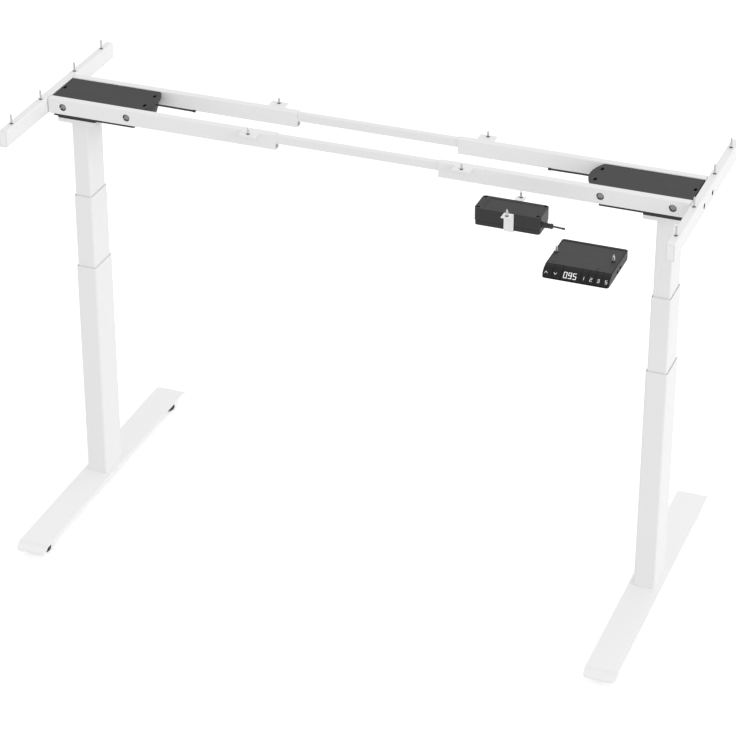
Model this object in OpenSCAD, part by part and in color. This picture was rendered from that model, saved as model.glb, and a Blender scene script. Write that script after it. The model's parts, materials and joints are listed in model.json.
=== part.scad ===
// Height-adjustable desk frame: two three-stage lifting columns on flat feet, a cross
// frame of telescopic beams, side brackets for the desktop, control box and handset.
// X runs along the desk, Y from front to back, Z up. The floor is at Z = 0.

/* [Columns] */
// Distance between the centre lines of the two columns
column_spread = 1233; // [1100:1:1500]
// How far each telescopic stage is drawn out
stage_lift = 155; // [40:1:300]
// Length of the outer tube
outer_len = 502; // [460:1:560]
// Outside width of the outer tube, along X
outer_w = 45; // [44:0.5:50]
// Outside depth of the outer tube, along Y
outer_d = 78; // [74:0.5:90]
// Wall of the outer and middle tubes
tube_wall = 1.5; // [1.2:0.1:1.6]
// Wall of the inner tube
inner_wall = 2; // [1.5:0.1:2.2]
// Gap between one tube and the next
tube_gap = 1; // [0.8:0.1:1.1]

/* [Feet] */
// Length of a foot
foot_len = 714; // [640:1:760]
// Width of a foot
foot_w = 66; // [60:1:80]
// Height of the foot's top above the floor
foot_height = 32; // [31:0.5:38]
// Thickness of the foot plate
foot_plate_t = 4; // [3:0.5:5]
// Diameter of a levelling glide
glide_d = 42; // [34:1:44]
// Distance between the two glides of a foot
glide_spread = 620; // [560:1:630]

/* [Beams] */
// Length of each outer beam
beam_len = 500; // [460:1:520]
// Height of an outer beam
beam_h = 32.5; // [32:0.5:36]
// Depth of an outer beam
beam_d = 17; // [16:0.5:20]
// Wall of beams and bars
beam_wall = 1.5; // [1.2:0.1:2]
// Distance over the front and rear faces of the beam pair
beam_pair_d = 130; // [128:0.5:140]
// Length of a middle bar
bar_len = 700; // [560:1:720]

/* [Side brackets] */
// Length of a side bracket
bracket_len = 480; // [440:1:560]
// Width of a side bracket
bracket_w = 18; // [16:0.5:24]
// Height of a side bracket
bracket_h = 35; // [33:0.5:40]
// Distance between the outer desktop screws of one bracket
outer_screw_spread = 404; // [360:1:420]
// Distance between the inner desktop screws of one bracket
inner_screw_spread = 152; // [110:1:200]

/* [Control box] */
// Length of the control box
box_len = 130; // [110:1:140]
// Depth of the control box
box_d = 57; // [50:1:70]
// Height of the control box
box_h = 35.5; // [30:0.5:40]
// Height of its upper shell
box_lid_h = 26; // [20:0.5:28]

/* [Handset] */
// Width of the handset
handset_w = 124; // [110:1:140]
// Depth of the handset's flat top
handset_top_d = 99; // [80:1:110]
// Thickness of the handset
handset_t = 17.5; // [16:0.5:20]
// Width of the display window
display_w = 35; // [30:0.5:40]

/* [Fasteners] */
// Shank diameter of a desktop screw
screw_d = 4.5; // [4:0.1:5]
// Height of a bracket screw's tip above the frame
bracket_screw_rise = 22.5; // [14:0.5:25]
// Diameter of a beam bolt
bolt_d = 6; // [5:0.5:6]
// Diameter of a rubber washer under the desktop
washer_d = 8.5; // [8:0.5:12]

/* [Hidden] */

// Roundness of bores, pins and arcs
round_fn = 48;
arc_fn = 180;
hex_fn = 6;
cord_sides = 10;
thin_cord_sides = 8;

// Clearances and the overrun of cuts
slide_gap = 0.3;
fit_gap = 0.05;
cut_over = 1;

// Colours
white_steel = [0.93, 0.93, 0.93];
shadow_white = [0.88, 0.88, 0.88];
black_plastic = [0.13, 0.13, 0.13];
dark_plastic = [0.18, 0.18, 0.18];
dark_rubber = [0.08, 0.08, 0.08];
bare_steel = [0.62, 0.62, 0.64];
nylon = [0.85, 0.84, 0.8];

// Columns
column_x = column_spread / 2;
outer_r = 4;
middle_r = 3.5;
inner_r = 3;
cavity_r = 1;
stage_step = 2 * (tube_wall + tube_gap);
middle_w = outer_w - stage_step;
middle_d = outer_d - stage_step;
inner_w = middle_w - stage_step;
inner_d = middle_d - stage_step;
stop_gap = 8;
middle_reveal = 9;
inner_reveal = 13.8;
middle_len = outer_len + middle_reveal - stop_gap;
inner_len = middle_len + inner_reveal - stop_gap;
outer_top = foot_height + outer_len;
middle_z = foot_height + stop_gap + stage_lift;
inner_z = middle_z + stop_gap + stage_lift;
head_z = inner_z + inner_len;

// Head plate of a column and the tray that stands on it
head_w = 87;
head_d = 92;
head_t = 8.5;
head_corner_r = 6;
tray_pad_t = 3.7;
tray_floor_t = 3.5;
tray_wall = 2.5;
tray_drop = 12.5;
tray_z = head_z + head_t + tray_pad_t;
motor_z = tray_z + tray_floor_t;
beam_z = tray_z + tray_drop;
top_z = beam_z + beam_h;

// Guide pads between the tubes
pad_t = tube_gap - slide_gap;
pad_h = 40;
pad_edge = 5;
pad_long_share = 0.6;
pad_short_share = 0.5;

// Lift screws, nuts and the drive shaft
base_plate_t = 7.5;
lift_screw_d = 16;
lift_screw_bore = 10;
spindle_d = 24;
spindle_bore = 18;
spindle_short = 103;
spindle_foot_gap = 0.5;
spindle_nut_h = 24;
spindle_cap_t = 8;
spindle_len = middle_len - spindle_short;
collar_d = 28.4;
collar_h = 2.5;
collar_seat_h = 3;
collar_lift = 0.1;
bearing_t = 7.5;
lift_screw_short = 32.5;
lift_screw_len = spindle_len - spindle_cap_t - lift_screw_short;
nut_h = 30;
shaft_across = 8;
shaft_short = 52;
shaft_len = inner_len - shaft_short;
journal_d = 12;
journal_below = 6;
journal_above = 9.5;
output_d = 27;
output_bore = 28;
output_drop = motor_z - head_z - journal_below;

// Feet
foot_nose_run = 18.5;
foot_nose_drop = 10;
foot_corner_r = 8;
rail_w = 35;
rail_wall = 2.5;
rail_z = 12;
rail_inset = 27;
rail_len = foot_len - 2 * rail_inset;
rail_top = foot_height - foot_plate_t;
glide_disc_h = 8;
glide_edge = 1.5;
glide_boss_d = 22;
glide_stud_d = 8;
glide_stud_top = 5;
glide_nut_across = 16;
glide_nut_h = 8.5;
foot_bolt_x = 9;
foot_bolt_y = 24;
foot_bolt_head_d = 10;
foot_bolt_head_h = 5.5;
foot_bolt_access_d = 11;

// Cross frame
bracket_off = 62.5;
bracket_x = column_x + bracket_off;
bracket_inner = bracket_x - bracket_w / 2;
beam_inner = bracket_inner - beam_len;
beam_y = (beam_pair_d - beam_d) / 2;
beam_inside = beam_pair_d / 2 - beam_d;
beam_r = 2;
beam_hole_r = 0.8;
web_t = 1.5;
bar_h = 17.3;
bar_r = 1.5;
bar_d = beam_d - 2 * (beam_wall + slide_gap);
bar_z = top_z - beam_wall - slide_gap - bar_h;
web_z = bar_z - slide_gap - web_t;
beam_end_t = 4;
beam_bolt_near = 34;
beam_bolt_pitch = 141.5;
beam_bolt_drop = 16;
beam_bolt_z = top_z - beam_bolt_drop;
recess_d = 15.5;
bolt_head_d = 12.5;
bolt_head_h = 6;
recess_depth = 10;
bush_d = 14;
bolt_reach = 19.5;
bolt_hole_gap = 0.2;
bolt_seat = beam_pair_d / 2 - recess_depth;
lock_screw_d = 8;
lock_screw_near = 20;
lock_screw_pitch = 32;
lock_screw_inset = 0.5;

// Desktop tabs welded to the outer beams
tab_w = 36;
tab_reach = 22;
tab_t = 2.5;
tab_r = 4;
tab_off = 52;
tab_screw_reach = 14;
tab_screw_rise = 14.5;

// Side brackets
bracket_r = 3;
bracket_wall = 2;
bracket_z = top_z - bracket_h;
bracket_cavity_r = 1;
cap_t = 3;
cap_plug_len = 12;
cap_wall = 2;
cap_gap = 0.15;
bracket_bolt_y = 30.7;
bracket_bolt_drop = 17.6;
bracket_bolt_z = top_z - bracket_bolt_drop;
bracket_bolt_head_d = 10;
bracket_bolt_head_h = 5;
bracket_bolt_reach = 14;
bracket_bolt_hole_d = 11;

// Desktop screws and washers
screw_head_d = 9;
screw_head_h = 3;
screw_tip_h = 6;
screw_access_d = 12;
screw_shank_d = 3.4;
screw_thread_gap = 0.5;
screw_hole_d = screw_d + 2 * slide_gap;
washer_t = 1.8;
small_washer_d = 7.5;
small_washer_t = 1.2;

// Motor tray, motor and cover
cover_t = 3;
cover_drop = 2;
cover_top = top_z - cover_drop;
cover_gap = 0.8;
cover_end_gap = 2;
cover_half_d = beam_inside - cover_gap;
cover_lip_h = 3.5;
cover_lip_t = 1.5;
tray_set_in = 0.5;
tray_half_d = cover_half_d - tray_set_in;
end_arc_r = 80;
cover_reach = 162;
cover_tip = column_x - cover_reach;
cover_end = bracket_inner - cover_end_gap;
arc_x = cover_tip + end_arc_r;
tray_top = cover_top - cover_t;
well_start = column_x - 133;
well_corner_r = 4;
cover_screw_off = 17.5;
cover_screw_y = 24;
cover_screw_end = 6;
cover_screw_d = 3;
cover_screw_head_d = 6;
cover_screw_head_h = 1.6;
cover_recess_d = 7;
cover_recess_h = 2;
cover_screw_len = 12;
boss_d = 8;
bolt_boss = 14;
bolt_boss_d = 13;
head_bolt_x = 28;
head_bolt_y = 38;
head_bolt_head_d = 9.5;
head_bolt_head_h = 4.5;
gearbox_half_w = 28.5;
gearbox_half_d = 32;
gearbox_h = 25.5;
gearbox_r = 4;
motor_len = 98;
motor_d = 44;
motor_flat_h = 25;
motor_neck_d = 20;
motor_neck_len = 2;
motor_cap_len = 14;
motor_cap_inset = 1.2;

// Motor lead: it leaves the tray's rounded end and lies straight between the beams.
// Its points are measured from the tray's end wall and from the frame's top.
lead_d = 4;
lead_route = [[2, 0, -8.2], [-3, 0, -8.2], [-8, 0, -8.2], [-13, 0, -8.2], [-18, 0, -8.2],
    [-23, 0, -8.2], [-28, 0, -8.3], [-33, 0, -8.3], [-38, 0, -8.4], [-43, 0, -8.5],
    [-48, 0, -8.5], [-53, 0, -8.5], [-58, 0, -8.6], [-63, 0, -8.6], [-68, 0, -8.6],
    [-73, 0, -8.6], [-78, 0, -8.6]];
lead_plug_d = 5.4;
lead_plug_len = 6;
lead_plug_groove = 0.6;
lead_ring_step = 2;

// Control box
box_x = 362.5;
box_y = -196.5;
box_wall = 2;
box_r = 7;
box_base_inset = 1;
box_seam = 0.3;
box_z = top_z - box_h;
box_panel_share = 0.75;
box_panel_depth = 0.5;
box_screw_in = 6.5;
box_screw_recess_d = 7;
box_screw_recess_h = 2;
strap_x = 366.5;
strap_w = 19;
strap_t = 1.5;
strap_tab_front = 20.5;
strap_tab_rear = 19.5;
strap_screw_front = 12.5;
strap_screw_rear = 14;
strap_screw_rise = 15.5;
gland_y_off = 17;
gland_drop = 18;
gland_len = 21;
gland_big_d = 12;
gland_small_d = 8.5;
gland_ring_d = 10.5;
gland_ring_len = 5;

// Box lead, measured from the box's end wall and the gland's axis
box_lead_d = 3.6;
box_lead_route = [[-3, 0, 0], [0, 0, 0], [3, 0, 0], [6, 0, 0], [9, 0, 0], [12, 0, 0], [15, 0, 0],
    [18, 0, 0], [21, 0, 0], [24, 0, 0], [27, 0, 0], [30, 0, -0.1], [33, 0, -0.3],
    [36, 0, -0.5], [39, 0, -0.8]];
box_plug_d = 4.8;
box_plug_len = 5.5;

// Handset
handset_x = 552;
handset_back = -287;
handset_front = handset_back - handset_top_d;
handset_z = top_z - handset_t;
handset_r = 5;
handset_wall = 2.5;
handset_hollow_w = 88;
handset_hollow_in = 12;
handset_hollow_back = 8;
handset_back_r = 9;
panel_r = 31.5;
panel_lean_share = 0.048;
panel_cy = handset_front + panel_lean_share * panel_r;
panel_cz = top_z - sqrt(panel_r * panel_r - pow(panel_lean_share * panel_r, 2));
panel_first = 96.2;
panel_last = 150.4;
panel_lip = 1;
key_t = 2.4;
key_float = 0.7;
key_gap = 0.4;
cheek_t = 1.2;
arrow_key_share = 0.1938;
panel_w = handset_w - 2 * cheek_t;
arrow_key_w = (panel_w - display_w) * arrow_key_share;
number_key_w = (panel_w - display_w - 2 * arrow_key_w) / 4;
handset_screw_y = handset_back - 54.5;
handset_screw_left = 5;
handset_screw_right = 12;
handset_screw_depth = 10;
handset_screw_rise = 14;
handset_screw_head_d = 6.5;
handset_screw_access_d = 7.5;
handset_dimple_d = 4;
handset_dimple_h = 1;
handset_dimple_y = 7;
handset_dimple_left = 12.5;
handset_dimple_right = 30;
notch_w = 11;
notch_h = 5;
notch_depth = 5;
notch_y = 50;
notch_pitch = 18;
notch_drop = 12;
handset_nose = -(panel_cy - sqrt(panel_r * panel_r - pow(panel_cz - handset_z, 2)));

// The frame's origin is under the middle of everything that it measures
front_reach = max(handset_nose, foot_len / 2);
centre_y = (front_reach - foot_len / 2) / 2;

// Helpers

module placed() {
    translate([0, centre_y, 0]) children();
}

module on_side(side) {
    if (side < 0) {
        mirror([1, 0, 0]) children();
    } else {
        children();
    }
}

module round_rect(w, d, r) {
    square([w - 2 * r, d], center = true);
    square([w, d - 2 * r], center = true);
    for (sx = [-1, 1], sy = [-1, 1]) {
        translate([sx * (w / 2 - r), sy * (d / 2 - r)]) circle(r, $fn = round_fn);
    }
}

module tube_ring(w, d, r, wall) {
    difference() {
        round_rect(w, d, r);
        round_rect(w - 2 * wall, d - 2 * wall, max(r - wall, cavity_r));
    }
}

// Extrudes a YZ outline along X, from x0 over len
module along_x(x0, len) {
    translate([x0, 0, 0]) rotate([90, 0, 90]) linear_extrude(len) children();
}

// Extrudes an XZ outline along Y, from y0 over len
module along_y(y0, len) {
    translate([0, y0 + len, 0]) rotate([90, 0, 0]) linear_extrude(len) children();
}

module rod(d, h) {
    cylinder(h = h, d = d, $fn = round_fn);
}

module hex_rod(across, h) {
    cylinder(h = h, d = across / cos(180 / hex_fn), $fn = hex_fn);
}

// A round cut or pin along Y, from y0 over len
module rod_y(x, z, y0, len, d) {
    translate([x, y0 + len, z]) rotate([90, 0, 0]) rod(d, len);
}

// A round cut or pin along X, from x0 over len
module rod_x(x0, y, z, len, d) {
    translate([x0, y, z]) rotate([0, 90, 0]) rod(d, len);
}

// A tube swept along a route that runs mainly along X
function route_dir(p, i) =
    let (a = p[max(i - 1, 0)], b = p[min(i + 1, len(p) - 1)], v = b - a) v / norm(v);
function ring_point(c, t, r, turn) =
    let (side = cross([0, 0, 1], t), u = side / norm(side), w = cross(t, u))
    c + r * (cos(turn) * u + sin(turn) * w);

module swept_cord(p, d, sides) {
    rings = len(p);
    points = [for (i = [0 : rings - 1], k = [0 : sides - 1])
        ring_point(p[i], route_dir(p, i), d / 2, 360 * k / sides)];
    walls = [for (i = [0 : rings - 2], k = [0 : sides - 1])
        let (a = i * sides + k, b = i * sides + (k + 1) % sides)
        [b, a, a + sides, b + sides]];
    first = [for (k = [0 : sides - 1]) k];
    last = [for (k = [0 : sides - 1]) rings * sides - 1 - k];
    polyhedron(points, concat(walls, [first, last]));
}

// Feet

module foot_outline() {
    h = foot_len / 2;
    kink = h - foot_nose_run;
    tip_z = foot_height - foot_nose_drop;
    polygon([[-h, tip_z], [-kink, foot_height], [kink, foot_height], [h, tip_z],
        [h, tip_z - foot_plate_t], [kink, rail_top], [-kink, rail_top],
        [-h, tip_z - foot_plate_t]]);
}

module foot_rail() {
    inside_h = rail_top - rail_z - rail_wall;
    translate([-rail_w / 2, -rail_len / 2, rail_z]) {
        difference() {
            cube([rail_w, rail_len, rail_top - rail_z]);
            translate([rail_wall, rail_wall, rail_wall]) {
                cube([rail_w - 2 * rail_wall, rail_len - 2 * rail_wall, inside_h]);
            }
        }
    }
    for (s = [-1, 1]) {
        translate([0, s * glide_spread / 2, rail_z]) {
            hex_rod(glide_nut_across, rail_wall + glide_nut_h);
        }
    }
}

module foot_bolt_places() {
    for (sx = [-1, 1], sy = [-1, 1]) translate([sx * foot_bolt_x, sy * foot_bolt_y, 0]) children();
}

module foot(side) {
    color(white_steel) translate([side * column_x, 0, 0]) difference() {
        union() {
            intersection() {
                along_x(-foot_w / 2, foot_w) foot_outline();
                linear_extrude(foot_height) round_rect(foot_w, foot_len, foot_corner_r);
            }
            foot_rail();
        }
        for (s = [-1, 1]) {
            translate([0, s * glide_spread / 2, rail_z - cut_over]) {
                rod(glide_stud_d + 2 * fit_gap, rail_wall + glide_nut_h + 2 * cut_over);
            }
        }
        foot_bolt_places() {
            translate([0, 0, rail_top - cut_over]) {
                rod(bolt_d + 2 * bolt_hole_gap, foot_plate_t + 2 * cut_over);
            }
            translate([0, 0, rail_z - cut_over]) rod(foot_bolt_access_d, rail_wall + 2 * cut_over);
        }
    }
}

module glide(side, end) {
    color(dark_rubber) translate([side * column_x, end * glide_spread / 2, 0]) {
        cylinder(h = glide_edge, d1 = glide_d - 2 * glide_edge, d2 = glide_d, $fn = round_fn);
        translate([0, 0, glide_edge]) rod(glide_d, glide_disc_h - 2 * glide_edge);
        translate([0, 0, glide_disc_h - glide_edge]) {
            cylinder(h = glide_edge, d1 = glide_d, d2 = glide_d - 2 * glide_edge, $fn = round_fn);
        }
        rod(glide_boss_d, rail_z - slide_gap);
        rod(glide_stud_d, rail_top - glide_stud_top + slide_gap);
    }
}

module foot_bolts(side) {
    color(bare_steel) translate([side * column_x, 0, 0]) foot_bolt_places() {
        translate([0, 0, rail_top - foot_bolt_head_h]) rod(foot_bolt_head_d, foot_bolt_head_h);
        translate([0, 0, rail_top - slide_gap]) {
            rod(bolt_d, foot_plate_t + base_plate_t);
        }
    }
}

// Lifting columns

module column_outer(side) {
    color(white_steel) translate([side * column_x, 0, foot_height]) {
        linear_extrude(outer_len) tube_ring(outer_w, outer_d, outer_r, tube_wall);
    }
}

module column_middle(side) {
    color(white_steel) translate([side * column_x, 0, middle_z]) {
        linear_extrude(middle_len) tube_ring(middle_w, middle_d, middle_r, tube_wall);
    }
}

module head_bolt_places() {
    for (sx = [-1, 1], sy = [-1, 1]) translate([sx * head_bolt_x, sy * head_bolt_y, 0]) children();
}

module column_inner(side) {
    color(white_steel) translate([side * column_x, 0, 0]) {
        translate([0, 0, inner_z]) {
            linear_extrude(inner_len) tube_ring(inner_w, inner_d, inner_r, inner_wall);
        }
        translate([0, 0, head_z]) difference() {
            linear_extrude(head_t) round_rect(head_w, head_d, head_corner_r);
            translate([0, 0, -cut_over]) rod(output_bore, head_t + 2 * cut_over);
            head_bolt_places() translate([0, 0, -cut_over]) {
                rod(bolt_d + 2 * fit_gap, head_t + 2 * cut_over);
            }
        }
    }
}

// Four flat pads on the outside (turn_out = 1) or inside (turn_out = -1) of a tube's walls
module guide_pads(w, d, turn_out) {
    long_w = d * pad_long_share;
    short_w = w * pad_short_share;
    shift = turn_out > 0 ? 0 : -pad_t;
    for (s = [-1, 1]) {
        translate([s > 0 ? w / 2 + shift : -w / 2 - shift - pad_t, -long_w / 2, 0]) {
            cube([pad_t, long_w, pad_h]);
        }
        translate([-short_w / 2, s > 0 ? d / 2 + shift : -d / 2 - shift - pad_t, 0]) {
            cube([short_w, pad_t, pad_h]);
        }
    }
}

module outer_guides(side) {
    color(nylon) translate([side * column_x, 0, outer_top - pad_edge - pad_h]) {
        guide_pads(outer_w - 2 * tube_wall, outer_d - 2 * tube_wall, -1);
    }
}

module middle_guides(side) {
    cavity_w = middle_w - 2 * tube_wall;
    cavity_d = middle_d - 2 * tube_wall;
    color(nylon) translate([side * column_x, 0, middle_z]) {
        translate([0, 0, pad_edge]) guide_pads(middle_w, middle_d, 1);
        translate([0, 0, middle_len - pad_edge - pad_h]) guide_pads(cavity_w, cavity_d, -1);
        difference() {
            linear_extrude(bearing_t) {
                round_rect(cavity_w - 2 * slide_gap, cavity_d - 2 * slide_gap, middle_r - tube_wall);
            }
            translate([0, 0, -cut_over]) rod(spindle_d + 2 * fit_gap, bearing_t + 2 * cut_over);
            translate([0, 0, bearing_t - collar_seat_h]) {
                rod(collar_d + 2 * slide_gap, collar_seat_h + cut_over);
            }
        }
    }
}

// Flanged screw that stands on the foot, hollow for the drive shaft
module lift_screw(side) {
    w = outer_w - 2 * tube_wall - 2 * slide_gap;
    d = outer_d - 2 * tube_wall - 2 * slide_gap;
    color(bare_steel) translate([side * column_x, 0, foot_height]) difference() {
        union() {
            linear_extrude(base_plate_t) round_rect(w, d, outer_r - tube_wall);
            rod(lift_screw_d, base_plate_t + lift_screw_len);
        }
        translate([0, 0, base_plate_t]) rod(lift_screw_bore, lift_screw_len + cut_over);
        foot_bolt_places() translate([0, 0, -cut_over]) {
            rod(bolt_d + 2 * fit_gap, base_plate_t + 2 * cut_over);
        }
    }
}

// Threaded tube that turns in the middle stage: nut at its foot, hexagon socket at its top
module spindle_tube(side) {
    bore_len = spindle_len - spindle_foot_gap - spindle_nut_h - spindle_cap_t;
    color(bare_steel) translate([side * column_x, 0, middle_z + spindle_foot_gap]) difference() {
        union() {
            rod(spindle_d, spindle_len - spindle_foot_gap);
            translate([0, 0, bearing_t - collar_seat_h - spindle_foot_gap + collar_lift]) {
                rod(collar_d, collar_h);
            }
        }
        translate([0, 0, -cut_over]) rod(lift_screw_d + 2 * fit_gap, spindle_nut_h + 2 * cut_over);
        translate([0, 0, spindle_nut_h]) rod(spindle_bore, bore_len);
        translate([0, 0, spindle_nut_h]) {
            hex_rod(shaft_across + 2 * slide_gap, bore_len + spindle_cap_t + cut_over);
        }
    }
}

module lift_nut(side) {
    w = inner_w - 2 * inner_wall - 2 * slide_gap;
    d = inner_d - 2 * inner_wall - 2 * slide_gap;
    color(nylon) translate([side * column_x, 0, inner_z]) {
        translate([0, 0, pad_edge]) guide_pads(inner_w, inner_d, 1);
        difference() {
            linear_extrude(nut_h) round_rect(w, d, cavity_r);
            translate([0, 0, -cut_over]) rod(spindle_d + 2 * fit_gap, nut_h + 2 * cut_over);
        }
    }
}

module drive_shaft(side) {
    color(bare_steel) translate([side * column_x, 0, head_z]) {
        translate([0, 0, -shaft_len]) hex_rod(shaft_across, shaft_len + journal_below);
        translate([0, 0, journal_below]) {
            rod(journal_d, motor_z - head_z + journal_above - journal_below);
        }
    }
}

// Motor housing on top of each column

// Plan of the housing: straight sides and a shallow arc at its inner end
module housing_plan(half_d, arc_r, end_x) {
    translate([arc_x, -half_d]) square([end_x - arc_x, 2 * half_d]);
    intersection() {
        translate([arc_x, 0]) circle(arc_r, $fn = arc_fn);
        translate([arc_x - arc_r, -half_d]) square([arc_r + cut_over, 2 * half_d]);
    }
}

module cover_screw_places() {
    translate([cover_tip + cover_screw_off, cover_screw_y, 0]) children();
    translate([cover_tip + cover_screw_off, -cover_screw_y, 0]) children();
    translate([cover_end - cover_screw_end, 0, 0]) children();
}

module beam_bolt_places() {
    for (i = [0, 1]) {
        translate([bracket_inner - beam_bolt_near - i * beam_bolt_pitch, 0, beam_bolt_z]) children();
    }
}

module boss_block(w, d, h) {
    translate([-w / 2, -d / 2, -h / 2]) cube([w, d, h]);
}

// Plan of the well under the motor, between the beams
module well_plan(inset) {
    translate([(well_start + cover_end) / 2, 0]) {
        round_rect(cover_end - well_start - 2 * inset, 2 * (tray_half_d - inset), well_corner_r);
    }
}

module tray_walls() {
    wall_h = tray_top - beam_z;
    inner_half = tray_half_d - tray_wall;
    translate([0, 0, beam_z]) linear_extrude(wall_h) difference() {
        housing_plan(tray_half_d, end_arc_r - tray_set_in, cover_end);
        housing_plan(inner_half, end_arc_r - tray_set_in - tray_wall, cover_end - tray_wall);
    }
    cover_screw_places() translate([0, 0, beam_z]) rod(boss_d, wall_h);
    beam_bolt_places() for (s = [-1, 1]) {
        translate([0, s * (beam_inside - bolt_boss_d / 2), 0]) {
            boss_block(bolt_boss, bolt_boss_d, bolt_boss);
        }
    }
    for (s = [-1, 1]) {
        translate([bracket_inner - bolt_boss_d / 2, s * bracket_bolt_y, bracket_bolt_z]) {
            boss_block(bolt_boss_d, bolt_boss, bolt_boss);
        }
    }
}

module motor_tray(side) {
    color(black_plastic) on_side(side) difference() {
        union() {
            translate([0, 0, tray_z]) linear_extrude(tray_floor_t) well_plan(0);
            translate([0, 0, tray_z]) linear_extrude(tray_drop + tray_floor_t) difference() {
                well_plan(0);
                well_plan(tray_wall);
            }
            translate([0, 0, beam_z]) linear_extrude(tray_floor_t) difference() {
                housing_plan(tray_half_d, end_arc_r - tray_set_in, cover_end);
                well_plan(tray_wall);
            }
            translate([column_x, 0, head_z + head_t]) {
                linear_extrude(tray_pad_t) round_rect(head_w, head_d, head_corner_r);
            }
            translate([cover_end - cover_screw_end, 0, tray_z]) rod(boss_d, tray_drop + cut_over);
            tray_walls();
        }
        translate([column_x, 0, head_z]) {
            rod(output_bore, motor_z - head_z + cut_over);
            head_bolt_places() rod(bolt_d + 2 * bolt_hole_gap, motor_z - head_z + cut_over);
        }
        cover_screw_places() translate([0, 0, tray_top - cover_screw_len]) {
            rod(cover_screw_d + 2 * fit_gap, cover_screw_len + cut_over);
        }
        beam_bolt_places() for (y = [-beam_inside - cut_over, beam_inside - bolt_boss_d - cut_over]) {
            rod_y(0, 0, y, bolt_boss_d + 2 * cut_over, bolt_d + 2 * fit_gap);
        }
        for (s = [-1, 1]) {
            rod_x(bracket_inner - bolt_boss_d - cut_over, s * bracket_bolt_y, bracket_bolt_z,
                bolt_boss_d + 2 * cut_over, bolt_d + 2 * fit_gap);
        }
        rod_x(cover_tip + tray_set_in - cut_over, 0, top_z + lead_route[0][2],
            tray_wall + 2 * cut_over, lead_d + 2 * slide_gap);
    }
}

// Geared motor: gearbox over the column, flat-sided motor lying towards the desk's middle
module motor(side) {
    can_end = column_x - gearbox_half_w - motor_neck_len;
    can_z = motor_z + gearbox_h / 2;
    color(bare_steel) on_side(side) {
        difference() {
            translate([column_x, 0, 0]) union() {
                translate([0, 0, motor_z]) linear_extrude(gearbox_h) {
                    round_rect(2 * gearbox_half_w, 2 * gearbox_half_d, gearbox_r);
                }
                translate([0, 0, motor_z - output_drop]) rod(output_d, output_drop + cut_over);
            }
            translate([column_x, 0, head_z]) {
                rod(journal_d + 2 * fit_gap, motor_z - head_z + journal_above + slide_gap);
            }
        }
        rod_x(can_end - cut_over, 0, can_z, motor_neck_len + 2 * cut_over, motor_neck_d);
        intersection() {
            union() {
                rod_x(can_end - motor_len + motor_cap_len, 0, can_z, motor_len - motor_cap_len,
                    motor_d);
                rod_x(can_end - motor_len, 0, can_z, motor_cap_len + cut_over,
                    motor_d - 2 * motor_cap_inset);
            }
            translate([can_end - motor_len, -motor_d / 2, can_z - motor_flat_h / 2]) {
                cube([motor_len, motor_d, motor_flat_h]);
            }
        }
    }
}

module motor_cover(side) {
    lip_half = tray_half_d - tray_wall - slide_gap;
    lip_r = end_arc_r - tray_set_in - tray_wall - slide_gap;
    lip_end = cover_end - tray_wall - slide_gap;
    color(dark_plastic) on_side(side) difference() {
        union() {
            translate([0, 0, tray_top]) linear_extrude(cover_t) {
                housing_plan(cover_half_d, end_arc_r, cover_end);
            }
            translate([0, 0, tray_top - cover_lip_h]) linear_extrude(cover_lip_h) difference() {
                housing_plan(lip_half, lip_r, lip_end);
                housing_plan(lip_half - cover_lip_t, lip_r - cover_lip_t, lip_end - cover_lip_t);
                cover_screw_places() circle(d = boss_d + 2 * slide_gap, $fn = round_fn);
                translate([cover_tip, 0]) square([2 * boss_d, 2 * boss_d], center = true);
            }
        }
        cover_screw_places() translate([0, 0, tray_top - cut_over]) {
            rod(cover_screw_d + 2 * slide_gap, cover_t + 2 * cut_over);
            translate([0, 0, cut_over + cover_t - cover_recess_h]) {
                rod(cover_recess_d, cover_recess_h + cut_over);
            }
        }
    }
}

// Cross frame

module beam_section() {
    difference() {
        round_rect(beam_d, beam_h, beam_r);
        round_rect(beam_d - 2 * beam_wall, beam_h - 2 * beam_wall, beam_hole_r);
    }
    translate([-beam_d / 2 + beam_wall / 2, web_z - beam_z - beam_h / 2]) {
        square([beam_d - beam_wall, web_t]);
    }
}

// row = -1 is the front beam, row = 1 the rear one
module beam(side, row) {
    color(white_steel) on_side(side) difference() {
        union() {
            translate([0, row * beam_y, beam_z + beam_h / 2]) {
                along_x(beam_inner, beam_len - beam_end_t / 2) beam_section();
                along_x(bracket_inner - beam_end_t, beam_end_t) round_rect(beam_d, beam_h, beam_r);
            }
            tab(row);
        }
        beam_bolt_places() {
            rod_y(0, 0, row < 0 ? -beam_pair_d / 2 - cut_over : beam_inside + beam_wall,
                beam_d - beam_wall + cut_over, recess_d);
            rod_y(0, 0, row < 0 ? -beam_inside - beam_wall - cut_over : beam_inside - cut_over,
                beam_wall + 2 * cut_over, bolt_d + 2 * bolt_hole_gap);
        }
        lock_screw_places() translate([0, row * beam_y, beam_z - cut_over]) {
            rod(lock_screw_d + 2 * fit_gap, web_z + web_t - beam_z + 2 * cut_over);
        }
    }
    color(white_steel) on_side(side) beam_bolt_places() bush(row);
}

// Bush that carries a bolt head inside a hollow beam, welded to the beam's inner wall
module bush(row) {
    difference() {
        rod_y(0, 0, row < 0 ? -bolt_seat : beam_inside, bolt_seat - beam_inside, bush_d);
        rod_y(0, 0, row < 0 ? -bolt_seat - cut_over : beam_inside - cut_over,
            bolt_seat - beam_inside + 2 * cut_over, bolt_d + 2 * bolt_hole_gap);
    }
}

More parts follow.
